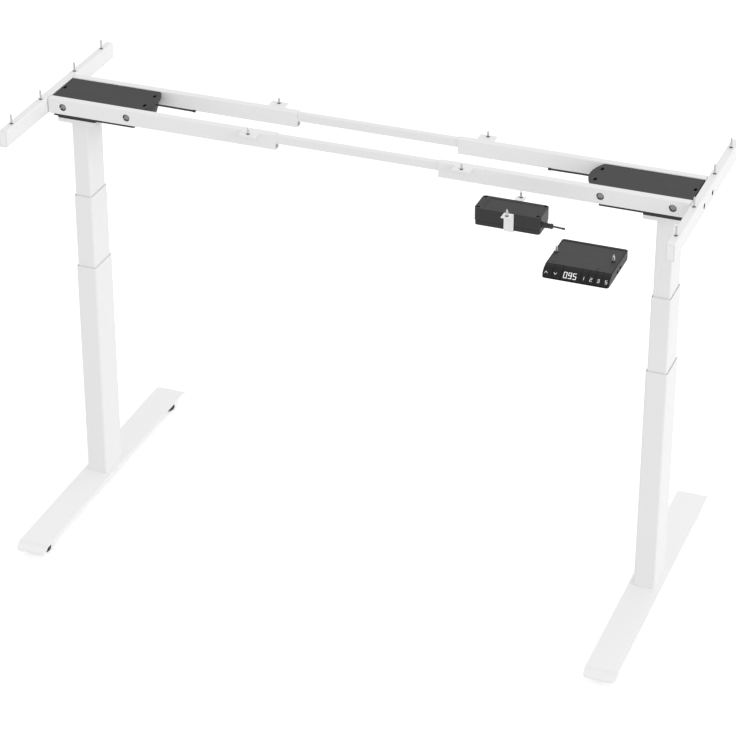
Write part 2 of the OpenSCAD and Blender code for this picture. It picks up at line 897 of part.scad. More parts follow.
module tab(row) {
    x = beam_inner + tab_off;
    y = beam_pair_d / 2;
    reach = tab_reach + tab_r;
    difference() {
        intersection() {
            translate([x, row * (y + tab_reach - reach / 2), top_z - tab_t]) {
                linear_extrude(tab_t) round_rect(tab_w, reach, tab_r);
            }
            translate([x - tab_w, row > 0 ? y - beam_wall : -y - tab_reach - cut_over, 0]) {
                cube([2 * tab_w, tab_reach + beam_wall + cut_over, top_z]);
            }
        }
        translate([x, row * (y + tab_screw_reach), top_z - tab_t - cut_over]) {
            rod(screw_hole_d, tab_t + 2 * cut_over);
        }
    }
}

module lock_screw_places() {
    for (i = [0, 1]) {
        translate([beam_inner + lock_screw_near + i * lock_screw_pitch, 0, 0]) children();
    }
}

module bar(row) {
    color(shadow_white) translate([0, row * beam_y, bar_z + bar_h / 2]) {
        along_x(-bar_len / 2, bar_len) difference() {
            round_rect(bar_d, bar_h, bar_r);
            round_rect(bar_d - 2 * beam_wall, bar_h - 2 * beam_wall, beam_hole_r);
        }
    }
}

module beam_bolt(row) {
    head_y = row < 0 ? -bolt_seat - bolt_head_h : bolt_seat;
    shank_y = row < 0 ? -bolt_seat - slide_gap : bolt_seat - bolt_reach;
    rod_y(0, 0, head_y, bolt_head_h, bolt_head_d);
    rod_y(0, 0, shank_y, bolt_reach + slide_gap, bolt_d);
}

module bracket_bolt(s) {
    seat = bracket_inner + bracket_wall;
    rod_x(seat, s * bracket_bolt_y, bracket_bolt_z, bracket_bolt_head_h, bracket_bolt_head_d);
    rod_x(seat - bracket_bolt_reach, s * bracket_bolt_y, bracket_bolt_z,
        bracket_bolt_reach + slide_gap, bolt_d);
}

module cover_screw() {
    head_z0 = cover_top - cover_recess_h;
    translate([0, 0, head_z0]) rod(cover_screw_head_d, cover_screw_head_h);
    translate([0, 0, head_z0 - cover_screw_len + cut_over]) {
        rod(cover_screw_d, cover_screw_len);
    }
}

module head_bolt() {
    translate([0, 0, motor_z]) rod(head_bolt_head_d, head_bolt_head_h);
    translate([0, 0, head_z + slide_gap]) rod(bolt_d, motor_z - head_z);
}

module lock_screw(row) {
    z = beam_z + lock_screw_inset;
    translate([0, row * beam_y, z]) rod(lock_screw_d, web_z + web_t - z);
}

module frame_bolts(side) {
    color(bare_steel) on_side(side) {
        for (row = [-1, 1]) {
            beam_bolt_places() beam_bolt(row);
            lock_screw_places() lock_screw(row);
            bracket_bolt(row);
        }
        cover_screw_places() cover_screw();
        translate([column_x, 0, 0]) head_bolt_places() head_bolt();
    }
}

// Side brackets

module bracket_screw_places() {
    for (y = [outer_screw_spread / 2, inner_screw_spread / 2], s = [-1, 1]) {
        translate([bracket_x, s * y, 0]) children();
    }
}

module side_bracket(side) {
    cavity_w = bracket_w - 2 * bracket_wall;
    cavity_h = bracket_h - 2 * bracket_wall;
    color(white_steel) on_side(side) difference() {
        translate([bracket_x, 0, bracket_z + bracket_h / 2]) {
            along_y(-bracket_len / 2, bracket_len) difference() {
                round_rect(bracket_w, bracket_h, bracket_r);
                round_rect(cavity_w, cavity_h, bracket_cavity_r);
            }
        }
        bracket_screw_places() {
            translate([0, 0, top_z - bracket_wall - cut_over]) {
                rod(screw_hole_d, bracket_wall + 2 * cut_over);
            }
            translate([0, 0, bracket_z - cut_over]) rod(screw_access_d, bracket_wall + 2 * cut_over);
        }
        for (s = [-1, 1]) {
            rod_x(bracket_inner - cut_over, s * bracket_bolt_y, bracket_bolt_z,
                bracket_wall + 2 * cut_over, bolt_d + 2 * bolt_hole_gap);
            rod_x(bracket_x, s * bracket_bolt_y, bracket_bolt_z, bracket_w / 2 + cut_over,
                bracket_bolt_hole_d);
        }
    }
}

module end_caps(side) {
    w = bracket_w - 2 * bracket_wall - 2 * cap_gap;
    h = bracket_h - 2 * bracket_wall - 2 * cap_gap;
    color(shadow_white) on_side(side) for (s = [-1, 1]) {
        face_y = s < 0 ? -bracket_len / 2 : bracket_len / 2 - cap_t;
        plug_y = s < 0 ? -bracket_len / 2 : bracket_len / 2 - cap_t - cap_plug_len;
        translate([bracket_x, 0, bracket_z + bracket_h / 2]) {
            along_y(face_y, cap_t) round_rect(w, h, bracket_cavity_r);
            along_y(plug_y, cap_plug_len + cap_t) difference() {
                round_rect(w, h, bracket_cavity_r);
                square([w - 2 * cap_wall, h - 2 * cap_wall], center = true);
            }
        }
    }
}

// A pointed screw that stands up out of its seat, with a washer ring where it leaves the frame
module desk_screw(seat_z, rise, head_d, ring_d, ring_t) {
    thread_z = top_z + ring_t + screw_thread_gap;
    tip_z = top_z + rise - screw_tip_h;
    translate([0, 0, seat_z - screw_head_h]) rod(head_d, screw_head_h);
    translate([0, 0, seat_z - slide_gap]) rod(screw_shank_d, thread_z - seat_z + 2 * slide_gap);
    translate([0, 0, thread_z]) rod(screw_d, tip_z - thread_z);
    translate([0, 0, tip_z]) cylinder(h = screw_tip_h, d1 = screw_d, d2 = 0, $fn = round_fn);
    translate([0, 0, top_z]) difference() {
        rod(ring_d, ring_t);
        translate([0, 0, -cut_over]) rod(screw_hole_d, ring_t + 2 * cut_over);
    }
}

module desk_screws(side) {
    color(bare_steel) on_side(side) {
        bracket_screw_places() {
            desk_screw(top_z - bracket_wall, bracket_screw_rise, screw_head_d, washer_d, washer_t);
        }
        for (s = [-1, 1]) {
            translate([beam_inner + tab_off, s * (beam_pair_d / 2 + tab_screw_reach), 0]) {
                desk_screw(top_z - tab_t, tab_screw_rise, screw_head_d, small_washer_d,
                    small_washer_t);
            }
        }
        if (side > 0) {
            strap_screw_places() {
                desk_screw(top_z - strap_t, strap_screw_rise, screw_head_d, small_washer_d,
                    small_washer_t);
            }
            handset_screw_places() {
                desk_screw(top_z - handset_screw_depth, handset_screw_rise, handset_screw_head_d,
                    small_washer_d, small_washer_t);
            }
        }
    }
}

// Cables

module motor_cable(side) {
    start = [cover_tip + tray_set_in, 0, top_z];
    rings = [for (i = [0 : lead_ring_step : len(lead_route) - 1]) start + lead_route[i]];
    tip = start + lead_route[len(lead_route) - 1];
    color(dark_rubber) on_side(side) {
        swept_cord(rings, lead_d, cord_sides);
        rod_x(tip[0] - lead_plug_len, tip[1], tip[2], lead_plug_len, lead_plug_d);
    }
}

module box_cable() {
    start = [box_x + box_len / 2, box_y - gland_y_off, top_z - gland_drop];
    points = [for (p = box_lead_route) start + p];
    rings = [for (i = [0 : lead_ring_step : len(points) - 1]) points[i]];
    tip = points[len(points) - 1];
    color(dark_rubber) {
        swept_cord(rings, box_lead_d, thin_cord_sides);
        rod_x(tip[0], tip[1], tip[2], box_plug_len, box_plug_d);
        translate(start) rotate([0, 90, 0]) difference() {
            union() {
                cylinder(h = gland_len, d1 = gland_big_d, d2 = gland_small_d, $fn = round_fn);
                translate([0, 0, gland_len - gland_ring_len]) rod(gland_ring_d, gland_ring_len);
            }
            translate([0, 0, -cut_over]) {
                rod(box_lead_d + 2 * slide_gap, gland_len + 2 * cut_over);
            }
        }
    }
}

// Control box

module box_lead_hole() {
    rod_x(box_x + box_len / 2 - box_wall - cut_over, box_y - gland_y_off, top_z - gland_drop,
        box_wall + 2 * cut_over, box_lead_d + 2 * slide_gap);
}

module box_plan(inset) {
    translate([box_x, box_y]) {
        round_rect(box_len - 2 * inset, box_d - 2 * inset, box_r - inset);
    }
}

module box_screw_recesses() {
    for (sx = [-1, 1], sy = [-1, 1]) {
        translate([box_x + sx * (box_len / 2 - box_screw_in), box_y + sy * (box_d / 2 - box_screw_in),
                top_z - box_screw_recess_h]) {
            rod(box_screw_recess_d, box_screw_recess_h + cut_over);
        }
    }
}

module control_box_lid() {
    z = top_z - box_lid_h;
    color(dark_plastic) difference() {
        translate([0, 0, z]) linear_extrude(box_lid_h) box_plan(0);
        translate([0, 0, z - cut_over]) {
            linear_extrude(box_lid_h - box_wall - box_screw_recess_h + cut_over) box_plan(box_wall);
        }
        box_screw_recesses();
        box_lead_hole();
        translate([box_x, box_y, top_z - box_panel_depth]) {
            linear_extrude(box_panel_depth + cut_over) {
                square([box_len * box_panel_share, box_d * box_panel_share], center = true);
            }
        }
    }
}

module control_box_base() {
    h = box_h - box_lid_h - box_seam;
    color(dark_plastic) difference() {
        translate([0, 0, box_z]) linear_extrude(h) box_plan(box_base_inset);
        translate([0, 0, box_z + box_wall]) {
            linear_extrude(h) box_plan(box_base_inset + box_wall);
        }
    }
}

module strap_screw_places() {
    translate([strap_x, box_y - box_d / 2 - strap_screw_front, 0]) children();
    translate([strap_x, box_y + box_d / 2 + strap_screw_rear, 0]) children();
}

// Sheet-metal strap: two tabs against the desktop and a U under the box
module box_strap() {
    front = box_y - box_d / 2 - slide_gap;
    rear = box_y + box_d / 2 + slide_gap;
    bottom = box_z - slide_gap - strap_t;
    h = top_z - bottom;
    color(white_steel) difference() {
        translate([strap_x - strap_w / 2, 0, 0]) {
            translate([0, front - strap_t, bottom]) cube([strap_w, strap_t, h]);
            translate([0, rear, bottom]) cube([strap_w, strap_t, h]);
            translate([0, front - strap_t, bottom]) {
                cube([strap_w, rear - front + 2 * strap_t, strap_t]);
            }
            translate([0, front - strap_tab_front, top_z - strap_t]) {
                cube([strap_w, strap_tab_front, strap_t]);
            }
            translate([0, rear, top_z - strap_t]) cube([strap_w, strap_tab_rear, strap_t]);
        }
        strap_screw_places() translate([0, 0, top_z - strap_t - cut_over]) {
            rod(screw_hole_d, strap_t + 2 * cut_over);
        }
    }
}

// Handset

module panel_wedge(a0, a1) {
    far = 2 * panel_r;
    mid = (a0 + a1) / 2;
    polygon([[0, 0], [far * cos(a0), far * sin(a0)], [far * cos(mid), far * sin(mid)],
        [far * cos(a1), far * sin(a1)]]);
}

// Curved strip of the front panel, as a YZ outline
module panel_strip(r_out, r_in, a0, a1) {
    translate([panel_cy, panel_cz]) intersection() {
        difference() {
            circle(r_out, $fn = arc_fn);
            circle(r_in, $fn = arc_fn);
        }
        panel_wedge(a0, a1);
    }
}

module handset_side() {
    difference() {
        translate([handset_front, handset_z]) square([handset_top_d, handset_t]);
        translate([handset_back - handset_back_r, handset_z]) difference() {
            translate([0, -cut_over]) square(handset_back_r + cut_over);
            translate([0, handset_back_r]) circle(handset_back_r, $fn = arc_fn);
        }
    }
    intersection() {
        translate([panel_cy, panel_cz]) circle(panel_r, $fn = arc_fn);
        translate([handset_front - panel_r, handset_z]) square([panel_r + cut_over, handset_t]);
    }
}

module handset_screw_places() {
    translate([handset_x - handset_w / 2 + handset_screw_left, handset_screw_y, 0]) children();
    translate([handset_x + handset_w / 2 - handset_screw_right, handset_screw_y, 0]) children();
}

// Room for the circuit board, clear of the screws, the notches and the keys
module handset_hollow() {
    translate([handset_x - handset_hollow_w / 2, handset_front + handset_hollow_in,
            handset_z + handset_wall]) {
        cube([handset_hollow_w, handset_top_d - handset_hollow_in - handset_hollow_back,
            handset_t - 2 * handset_wall]);
    }
}

module handset_body() {
    left = handset_x - handset_w / 2;
    right = handset_x + handset_w / 2;
    depth = handset_top_d + panel_r + panel_r;
    color(dark_plastic) difference() {
        intersection() {
            along_x(left, handset_w) handset_side();
            translate([handset_x, handset_back - depth / 2, handset_z - cut_over]) {
                linear_extrude(handset_t + 2 * cut_over) round_rect(handset_w, depth, handset_r);
            }
        }
        along_x(left + cheek_t - key_gap / 2, panel_w + key_gap) {
            panel_strip(panel_r + cut_over, panel_r - key_t - key_float, panel_first - panel_lip,
                panel_last + panel_lip);
        }
        handset_hollow();
        handset_screw_places() {
            translate([0, 0, handset_z - cut_over]) {
                rod(screw_hole_d, handset_t + 2 * cut_over);
                rod(handset_screw_access_d, handset_t - handset_screw_depth + cut_over);
            }
        }
        for (x = [left + handset_dimple_left, right - handset_dimple_right]) {
            translate([x, handset_front + handset_dimple_y, top_z - handset_dimple_h]) {
                rod(handset_dimple_d, handset_dimple_h + cut_over);
            }
        }
        for (i = [0, 1]) {
            translate([right - notch_depth, handset_back - notch_y - i * notch_pitch - notch_w / 2,
                    top_z - notch_drop - notch_h / 2]) {
                cube([notch_depth + cut_over, notch_w, notch_h]);
            }
        }
    }
}

// One key of the front panel, from x0 over w, less the gap to its neighbours
module panel_key(x0, w) {
    color(black_plastic) along_x(x0 + key_gap / 2, w - key_gap) {
        panel_strip(panel_r, panel_r - key_t, panel_first, panel_last);
    }
}

function panel_x(arrows, displays, numbers) =
    handset_x - panel_w / 2 + arrows * arrow_key_w + displays * display_w + numbers * number_key_w;

module handset_display() {
    color(black_plastic) along_x(panel_x(2, 0, 0) + key_gap / 2, display_w - key_gap) {
        panel_strip(panel_r, panel_r - key_t - key_float + slide_gap, panel_first, panel_last);
    }
}

placed() foot(-1);  // foot_left
placed() foot(1);  // foot_right
placed() glide(-1, -1);  // glide_front_left
placed() glide(-1, 1);  // glide_rear_left
placed() glide(1, -1);  // glide_front_right
placed() glide(1, 1);  // glide_rear_right
placed() foot_bolts(-1);  // foot_bolts_left
placed() foot_bolts(1);  // foot_bolts_right
placed() column_outer(-1);  // column_outer_left
placed() column_outer(1);  // column_outer_right
placed() column_middle(-1);  // column_middle_left
placed() column_middle(1);  // column_middle_right
placed() column_inner(-1);  // column_inner_left
placed() column_inner(1);  // column_inner_right
placed() outer_guides(-1);  // outer_guides_left
placed() outer_guides(1);  // outer_guides_right
placed() middle_guides(-1);  // middle_guides_left
placed() middle_guides(1);  // middle_guides_right
placed() lift_screw(-1);  // lift_screw_left
placed() lift_screw(1);  // lift_screw_right
placed() spindle_tube(-1);  // spindle_tube_left
placed() spindle_tube(1);  // spindle_tube_right
placed() lift_nut(-1);  // lift_nut_left
placed() lift_nut(1);  // lift_nut_right
placed() drive_shaft(-1);  // drive_shaft_left
placed() drive_shaft(1);  // drive_shaft_right
placed() motor_tray(-1);  // motor_tray_left
placed() motor_tray(1);  // motor_tray_right
placed() motor(-1);  // motor_left
placed() motor(1);  // motor_right
placed() motor_cover(-1);  // motor_cover_left
placed() motor_cover(1);  // motor_cover_right
placed() beam(-1, -1);  // beam_front_left
placed() beam(-1, 1);  // beam_rear_left
placed() beam(1, -1);  // beam_front_right
placed() beam(1, 1);  // beam_rear_right
placed() bar(-1);  // bar_front
placed() bar(1);  // bar_rear
placed() frame_bolts(-1);  // frame_bolts_left
placed() frame_bolts(1);  // frame_bolts_right
placed() side_bracket(-1);  // side_bracket_left
placed() side_bracket(1);  // side_bracket_right
placed() end_caps(-1);  // end_caps_left
placed() end_caps(1);  // end_caps_right
placed() desk_screws(-1);  // desk_screws_left
placed() desk_screws(1);  // desk_screws_right
placed() motor_cable(-1);  // motor_cable_left
placed() motor_cable(1);  // motor_cable_right
placed() control_box_base();
placed() control_box_lid();
placed() box_strap();
placed() box_cable();
placed() handset_body();
placed() handset_display();
placed() panel_key(panel_x(0, 0, 0), arrow_key_w);  // key_up
placed() panel_key(panel_x(1, 0, 0), arrow_key_w);  // key_down
placed() panel_key(panel_x(2, 1, 0), number_key_w);  // key_one
placed() panel_key(panel_x(2, 1, 1), number_key_w);  // key_two
placed() panel_key(panel_x(2, 1, 2), number_key_w);  // key_three
placed() panel_key(panel_x(2, 1, 3), number_key_w);  // key_save
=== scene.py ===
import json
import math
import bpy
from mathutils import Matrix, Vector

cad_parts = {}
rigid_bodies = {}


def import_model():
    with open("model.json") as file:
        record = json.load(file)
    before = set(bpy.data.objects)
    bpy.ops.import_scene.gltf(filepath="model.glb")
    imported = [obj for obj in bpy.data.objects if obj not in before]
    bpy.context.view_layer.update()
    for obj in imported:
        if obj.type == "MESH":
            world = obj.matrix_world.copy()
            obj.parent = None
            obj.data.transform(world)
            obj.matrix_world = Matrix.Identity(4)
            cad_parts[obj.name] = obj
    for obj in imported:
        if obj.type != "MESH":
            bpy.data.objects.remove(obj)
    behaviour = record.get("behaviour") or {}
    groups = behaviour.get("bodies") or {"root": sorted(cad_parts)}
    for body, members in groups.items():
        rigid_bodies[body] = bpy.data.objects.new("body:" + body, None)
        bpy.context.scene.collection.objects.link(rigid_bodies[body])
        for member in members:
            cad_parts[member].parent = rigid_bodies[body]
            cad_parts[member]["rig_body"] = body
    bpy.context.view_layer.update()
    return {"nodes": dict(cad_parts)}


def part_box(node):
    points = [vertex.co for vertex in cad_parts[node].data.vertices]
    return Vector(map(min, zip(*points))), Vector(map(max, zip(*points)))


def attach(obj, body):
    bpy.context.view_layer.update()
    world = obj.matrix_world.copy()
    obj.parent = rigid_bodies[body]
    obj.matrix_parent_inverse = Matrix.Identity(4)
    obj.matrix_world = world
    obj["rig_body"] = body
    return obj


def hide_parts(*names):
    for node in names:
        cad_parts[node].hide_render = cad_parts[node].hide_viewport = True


bl_info = {
    "name": "Standing Desk Frame",
    "version": (1, 0, 0),
    "blender": (4, 5, 0),
    "location": "View3D > Sidebar > Desk Frame",
    "description": "Finishes and details for a height-adjustable desk frame",
    "category": "Object",
}

import bmesh
import bpy
from bpy.props import FloatProperty, FloatVectorProperty, PointerProperty
from mathutils import Matrix, Vector

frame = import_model()

MM = 0.001
SIDES = ("left", "right")
SIGN = {"left": -1, "right": 1}


def node_box(name):
    """Lowest and highest corner of a CAD node, in metres."""
    low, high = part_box(name)
    return Vector(low), Vector(high)


FRAME_Y = sum(node_box("column_outer_right"), Vector()).y / 2
TOP = node_box("side_bracket_right")[1].z / MM


# Lights: place and width in metres, and power in watts at a strength of 1; the height that they
# look at and the floor's width in metres

KEY_LIGHT = ((16.8, -5.4, 7.5), 9.6, 900)
REAR_LIGHT = ((1.5, 4.5, 3.5), 3.0, 22)
AIM_Z = 0.6
FLOOR_SIZE = 60


# Places and sizes in millimetres: x and z from the floor midway between the columns, y from the
# columns' middle. What both sides have is given for the right.

COVER_SCREWS = ((472, -24), (472, 24), (662, 0))
COVER_SCREW_Z, COVER_SLOT_Z = 922.2, 922.3
COVER_SLOT = (4.8, 11.5, 3.4)
BEAM_BOLT_X, BEAM_BOLT_Y, BEAM_BOLT_Z = (636, 494.5), 59.3, 908
BEAM_SEAMS = (((669.1, 65, 907.5), (1.9, 7, 36)), ((669.4, 56, 924), (1.2, 20, 2.4)))
BRACKET_BOLT_X, BRACKET_BOLT_Y, BRACKET_BOLT_Z = 677.2, (-30.7, 30.7), 906.4
BRACKET_HOLE_X = 683
TRAY_LEAN, TRAY_LEAN_REACH = 9, 40
TRAY_END, TRAY_RIM = 8, 16
BOX_X, BOX_Y, BOX_TOP_Z = 362.5, -196.5, 922
BOX_SCREWS = [(sx, sy) for sx in (-1, 1) for sy in (-1, 1)]
BOX_SCREW_X, BOX_SCREW_Y, BOX_SCREW_Z = 58.5, 22, 922.05
HANDSET_X, HANDSET_HALF = 552, 62
NOSE_Y, NOSE_CORNER_R = -412.7, 6
NOSE_EDGE_Y, NOSE_EDGE_R = -387, 1.7
# Painted shade: place and size of a thin dark strip under the handset's nose
NOSE_SHADE_STRIP = ((552, -409.7, 906.3), (121.2, 2.2, 0.07))
PANEL_EDGE_Y = -386.2
REAR_RIM = (((552, -291.2, 924.1), (117, 6.4, 1.2)), ((491.6, -338, 924.1), (1.8, 94, 1.0)),
            ((612.2, -338, 924.1), (2.2, 94, 1.0)))
PORT_X, PORT_FACE_X, PORT_Z = 612, 611.3, 912
PORT_Y = (-337, -355)


# Sizes and colours that a user would change

class FinishSettings(bpy.types.PropertyGroup):
    paint_color: FloatVectorProperty(
        name="Paint", description="Powder coat of the steel parts", subtype="COLOR", size=4,
        min=0, max=1, default=(0.87, 0.87, 0.87, 1))
    plastic_color: FloatVectorProperty(
        name="Housing plastic", description="Motor covers, control box and handset",
        subtype="COLOR", size=4, min=0, max=1, default=(0.031, 0.031, 0.032, 1))
    deep_plastic_color: FloatVectorProperty(
        name="Dark plastic", description="Motor trays", subtype="COLOR", size=4,
        min=0, max=1, default=(0.018, 0.018, 0.019, 1))
    panel_color: FloatVectorProperty(
        name="Key panel", description="Keys and display window", subtype="COLOR", size=4,
        min=0, max=1, default=(0.014, 0.014, 0.015, 1))
    legend_color: FloatVectorProperty(
        name="Legends", description="Printed signs on the keys", subtype="COLOR", size=4,
        min=0, max=1, default=(0.75, 0.75, 0.75, 1))
    steel_color: FloatVectorProperty(
        name="Zinc", description="Screws and bolts", subtype="COLOR", size=4,
        min=0, max=1, default=(0.34, 0.34, 0.35, 1))
    rubber_color: FloatVectorProperty(
        name="Rubber", description="Cables, glides and black rings", subtype="COLOR", size=4,
        min=0, max=1, default=(0.03, 0.03, 0.03, 1))
    grain_size: FloatProperty(
        name="Paint grain", description="Size of the powder coat's grain", subtype="DISTANCE",
        unit="LENGTH", min=0.0002, max=0.005, default=0.0011)


class StageSettings(bpy.types.PropertyGroup):
    lens: FloatProperty(
        name="Lens", description="Focal length of the camera in millimetres", min=20, max=400,
        default=131.91)
    camera_place: FloatVectorProperty(
        name="Camera", description="Place of the camera", subtype="TRANSLATION", unit="LENGTH",
        size=3, default=(1.7273, FRAME_Y - 4.4862, 3.158))
    camera_tilt: FloatProperty(
        name="Tilt", description="Camera's tilt from straight down", subtype="ANGLE",
        unit="ROTATION", default=math.radians(62.014))
    camera_turn: FloatProperty(
        name="Turn", description="Camera's turn about the vertical", subtype="ANGLE",
        unit="ROTATION", default=math.radians(21.056))
    camera_shift: FloatProperty(
        name="Shift", description="Vertical shift of the camera's frame", default=-0.12)
    sky_strength: FloatProperty(
        name="Sky", description="Strength of the even light", min=0, max=5, default=1.075)
    key_strength: FloatProperty(
        name="Key light", description="Strength of the soft light from the right", min=0, max=20,
        default=0.77)


def finish_settings():
    return bpy.context.scene.desk_finishes


def stage_settings():
    return bpy.context.scene.desk_stage


# Shader node groups shared by the materials

def new_group(name, inputs, outputs):
    tree = bpy.data.node_groups.new(name, "ShaderNodeTree")
    for label, kind, value in inputs:
        socket = tree.interface.new_socket(name=label, in_out="INPUT", socket_type=kind)
        socket.default_value = value
    for label, kind in outputs:
        tree.interface.new_socket(name=label, in_out="OUTPUT", socket_type=kind)
    return tree, tree.nodes.new("NodeGroupInput"), tree.nodes.new("NodeGroupOutput")


def add_node(tree, kind, **settings):
    node = tree.nodes.new(kind)
    for key, value in settings.items():
        setattr(node, key, value)
    return node


def math_node(tree, operation, a, b=None, clamp=False):
    """A Math node; a and b are sockets or numbers."""
    node = add_node(tree, "ShaderNodeMath", operation=operation, use_clamp=clamp)
    for slot, value in enumerate((a, b)):
        if value is None:
            continue
        if isinstance(value, (int, float)):
            node.inputs[slot].default_value = value
        else:
            tree.links.new(value, node.inputs[slot])
    return node.outputs[0]


def noise(tree, vector, scale, detail=2.0, rough=0.5):
    """Noise on vector; scale is a socket or a number."""
    node = add_node(tree, "ShaderNodeTexNoise")
    node.inputs["Detail"].default_value = detail
    node.inputs["Roughness"].default_value = rough
    tree.links.new(vector, node.inputs["Vector"])
    if isinstance(scale, (int, float)):
        node.inputs["Scale"].default_value = scale
    else:
        tree.links.new(scale, node.inputs["Scale"])
    return node.outputs[0]


def build_surface_group():
    """Coat with an even grain: colour drift, height for a bump and a roughness that varies."""
    tree, inp, out = new_group(
        "SurfaceGrain",
        [("Color", "NodeSocketColor", (0.8, 0.8, 0.8, 1)), ("Grain Size", "NodeSocketFloat", 0.001),
         ("Drift", "NodeSocketFloat", 0.03), ("Roughness", "NodeSocketFloat", 0.5),
         ("Roughness Drift", "NodeSocketFloat", 0.08)],
        [("Color", "NodeSocketColor"), ("Height", "NodeSocketFloat"),
         ("Roughness", "NodeSocketFloat")])
    coords = add_node(tree, "ShaderNodeTexCoord")
    place = coords.outputs["Object"]
    scale = math_node(tree, "DIVIDE", 1.0, inp.outputs["Grain Size"])
    fine = noise(tree, place, scale, 3.0, 0.55)
    broad = noise(tree, place, 6.0, 4.0, 0.6)
    smudge = noise(tree, place, 38.0, 3.0, 0.6)
    drift = math_node(tree, "MULTIPLY", math_node(tree, "SUBTRACT", broad, 0.5),
                      inp.outputs["Drift"])
    speck = math_node(tree, "MULTIPLY", math_node(tree, "SUBTRACT", fine, 0.5),
                      math_node(tree, "MULTIPLY", inp.outputs["Drift"], 0.6))
    factor = math_node(tree, "ADD", math_node(tree, "ADD", drift, speck), 1.0)
    scaled = add_node(tree, "ShaderNodeVectorMath", operation="SCALE")
    tree.links.new(inp.outputs["Color"], scaled.inputs[0])
    tree.links.new(factor, scaled.inputs["Scale"])
    tree.links.new(scaled.outputs[0], out.inputs["Color"])
    tree.links.new(fine, out.inputs["Height"])
    vary = math_node(tree, "MULTIPLY", math_node(tree, "SUBTRACT", smudge, 0.5),
                     inp.outputs["Roughness Drift"])
    tree.links.new(math_node(tree, "ADD", inp.outputs["Roughness"], vary, clamp=True),
                   out.inputs["Roughness"])
    return tree


def build_handling_group():
    """Faint rubs and dust: a mask that is 1 on clean areas and lower in scattered marks."""
    tree, inp, out = new_group(
        "HandlingMarks",
        [("Scale", "NodeSocketFloat", 30.0), ("Amount", "NodeSocketFloat", 0.3)],
        [("Mask", "NodeSocketFloat")])
    coords = add_node(tree, "ShaderNodeTexCoord")
    stretch = add_node(tree, "ShaderNodeMapping")
    stretch.inputs["Scale"].default_value = (0.35, 1.0, 1.0)
    tree.links.new(coords.outputs["Object"], stretch.inputs["Vector"])
    cloudy = noise(tree, stretch.outputs[0], inp.outputs["Scale"], 5.0, 0.65)
    spread = add_node(tree, "ShaderNodeMapRange")
    spread.inputs["From Min"].default_value = 0.52
    spread.inputs["From Max"].default_value = 0.72
    tree.links.new(cloudy, spread.inputs["Value"])
    marks = math_node(tree, "MULTIPLY", spread.outputs[0], inp.outputs["Amount"])
    tree.links.new(math_node(tree, "SUBTRACT", 1.0, marks, clamp=True), out.inputs["Mask"])
    return tree


def build_brushed_group():
    """Turned or drawn metal: fine streaks along Z."""
    tree, inp, out = new_group(
        "DrawnMetal",
        [("Color", "NodeSocketColor", (0.6, 0.6, 0.6, 1)), ("Scale", "NodeSocketFloat", 900.0)],
        [("Color", "NodeSocketColor"), ("Height", "NodeSocketFloat"),
         ("Roughness", "NodeSocketFloat")])
    coords = add_node(tree, "ShaderNodeTexCoord")
    stretch = add_node(tree, "ShaderNodeMapping")
    stretch.inputs["Scale"].default_value = (1.0, 1.0, 0.06)
    tree.links.new(coords.outputs["Object"], stretch.inputs["Vector"])
    streaks = noise(tree, stretch.outputs[0], inp.outputs["Scale"], 3.0, 0.5)
    dull = noise(tree, coords.outputs["Object"], 120.0, 3.0, 0.6)
    factor = math_node(tree, "ADD", math_node(tree, "MULTIPLY", dull, 0.16), 0.9)
    scaled = add_node(tree, "ShaderNodeVectorMath", operation="SCALE")
    tree.links.new(inp.outputs["Color"], scaled.inputs[0])
    tree.links.new(factor, scaled.inputs["Scale"])
    tree.links.new(scaled.outputs[0], out.inputs["Color"])
    tree.links.new(streaks, out.inputs["Height"])
    tree.links.new(math_node(tree, "ADD", math_node(tree, "MULTIPLY", dull, 0.22), 0.2),
                   out.inputs["Roughness"])
    return tree


GROUPS = {}


def group(name):
    builders = {"SurfaceGrain": build_surface_group, "HandlingMarks": build_handling_group,
                "DrawnMetal": build_brushed_group}
    if name not in GROUPS:
        GROUPS[name] = builders[name]()
    return GROUPS[name]


def new_material(name):
    made = bpy.data.materials.new(name)
    made.use_nodes = True
    tree = made.node_tree
    tree.nodes.clear()
    shader = add_node(tree, "ShaderNodeBsdfPrincipled")
    output = add_node(tree, "ShaderNodeOutputMaterial")
    tree.links.new(shader.outputs[0], output.inputs["Surface"])
    return made, tree, shader


def add_group(tree, name, **values):
    node = add_node(tree, "ShaderNodeGroup", node_tree=group(name))
    for key, value in values.items():
        node.inputs[key.replace("_", " ")].default_value = value
    return node


def raise_surface(tree, height, shader, strength, distance):
    """Lets a height stand out of the shader's surface."""
    bump = add_node(tree, "ShaderNodeBump")
    bump.inputs["Strength"].default_value = strength
    bump.inputs["Distance"].default_value = distance
    tree.links.new(height, bump.inputs["Height"])
    tree.links.new(bump.outputs[0], shader.inputs["Normal"])


def coated(name, color, grain, drift, rough, rough_drift, bump, bump_height=0.00002, marks=0.0,
           metallic=0.0, specular=0.5):
    """Paint, plastic or rubber with a grain of its own."""
    made, tree, shader = new_material(name)
    surface = add_group(tree, "SurfaceGrain", Color=color, Grain_Size=grain, Drift=drift,
                        Roughness=rough, Roughness_Drift=rough_drift)
    tree.links.new(surface.outputs["Color"], shader.inputs["Base Color"])
    rough_out = surface.outputs["Roughness"]
    if marks:
        rub = add_group(tree, "HandlingMarks", Scale=26.0, Amount=marks)
        rough_out = math_node(tree, "MULTIPLY", rough_out, rub.outputs["Mask"], clamp=True)
    tree.links.new(rough_out, shader.inputs["Roughness"])
    raise_surface(tree, surface.outputs["Height"], shader, bump, bump_height)
    shader.inputs["Metallic"].default_value = metallic
    shader.inputs["Specular IOR Level"].default_value = specular
    return made


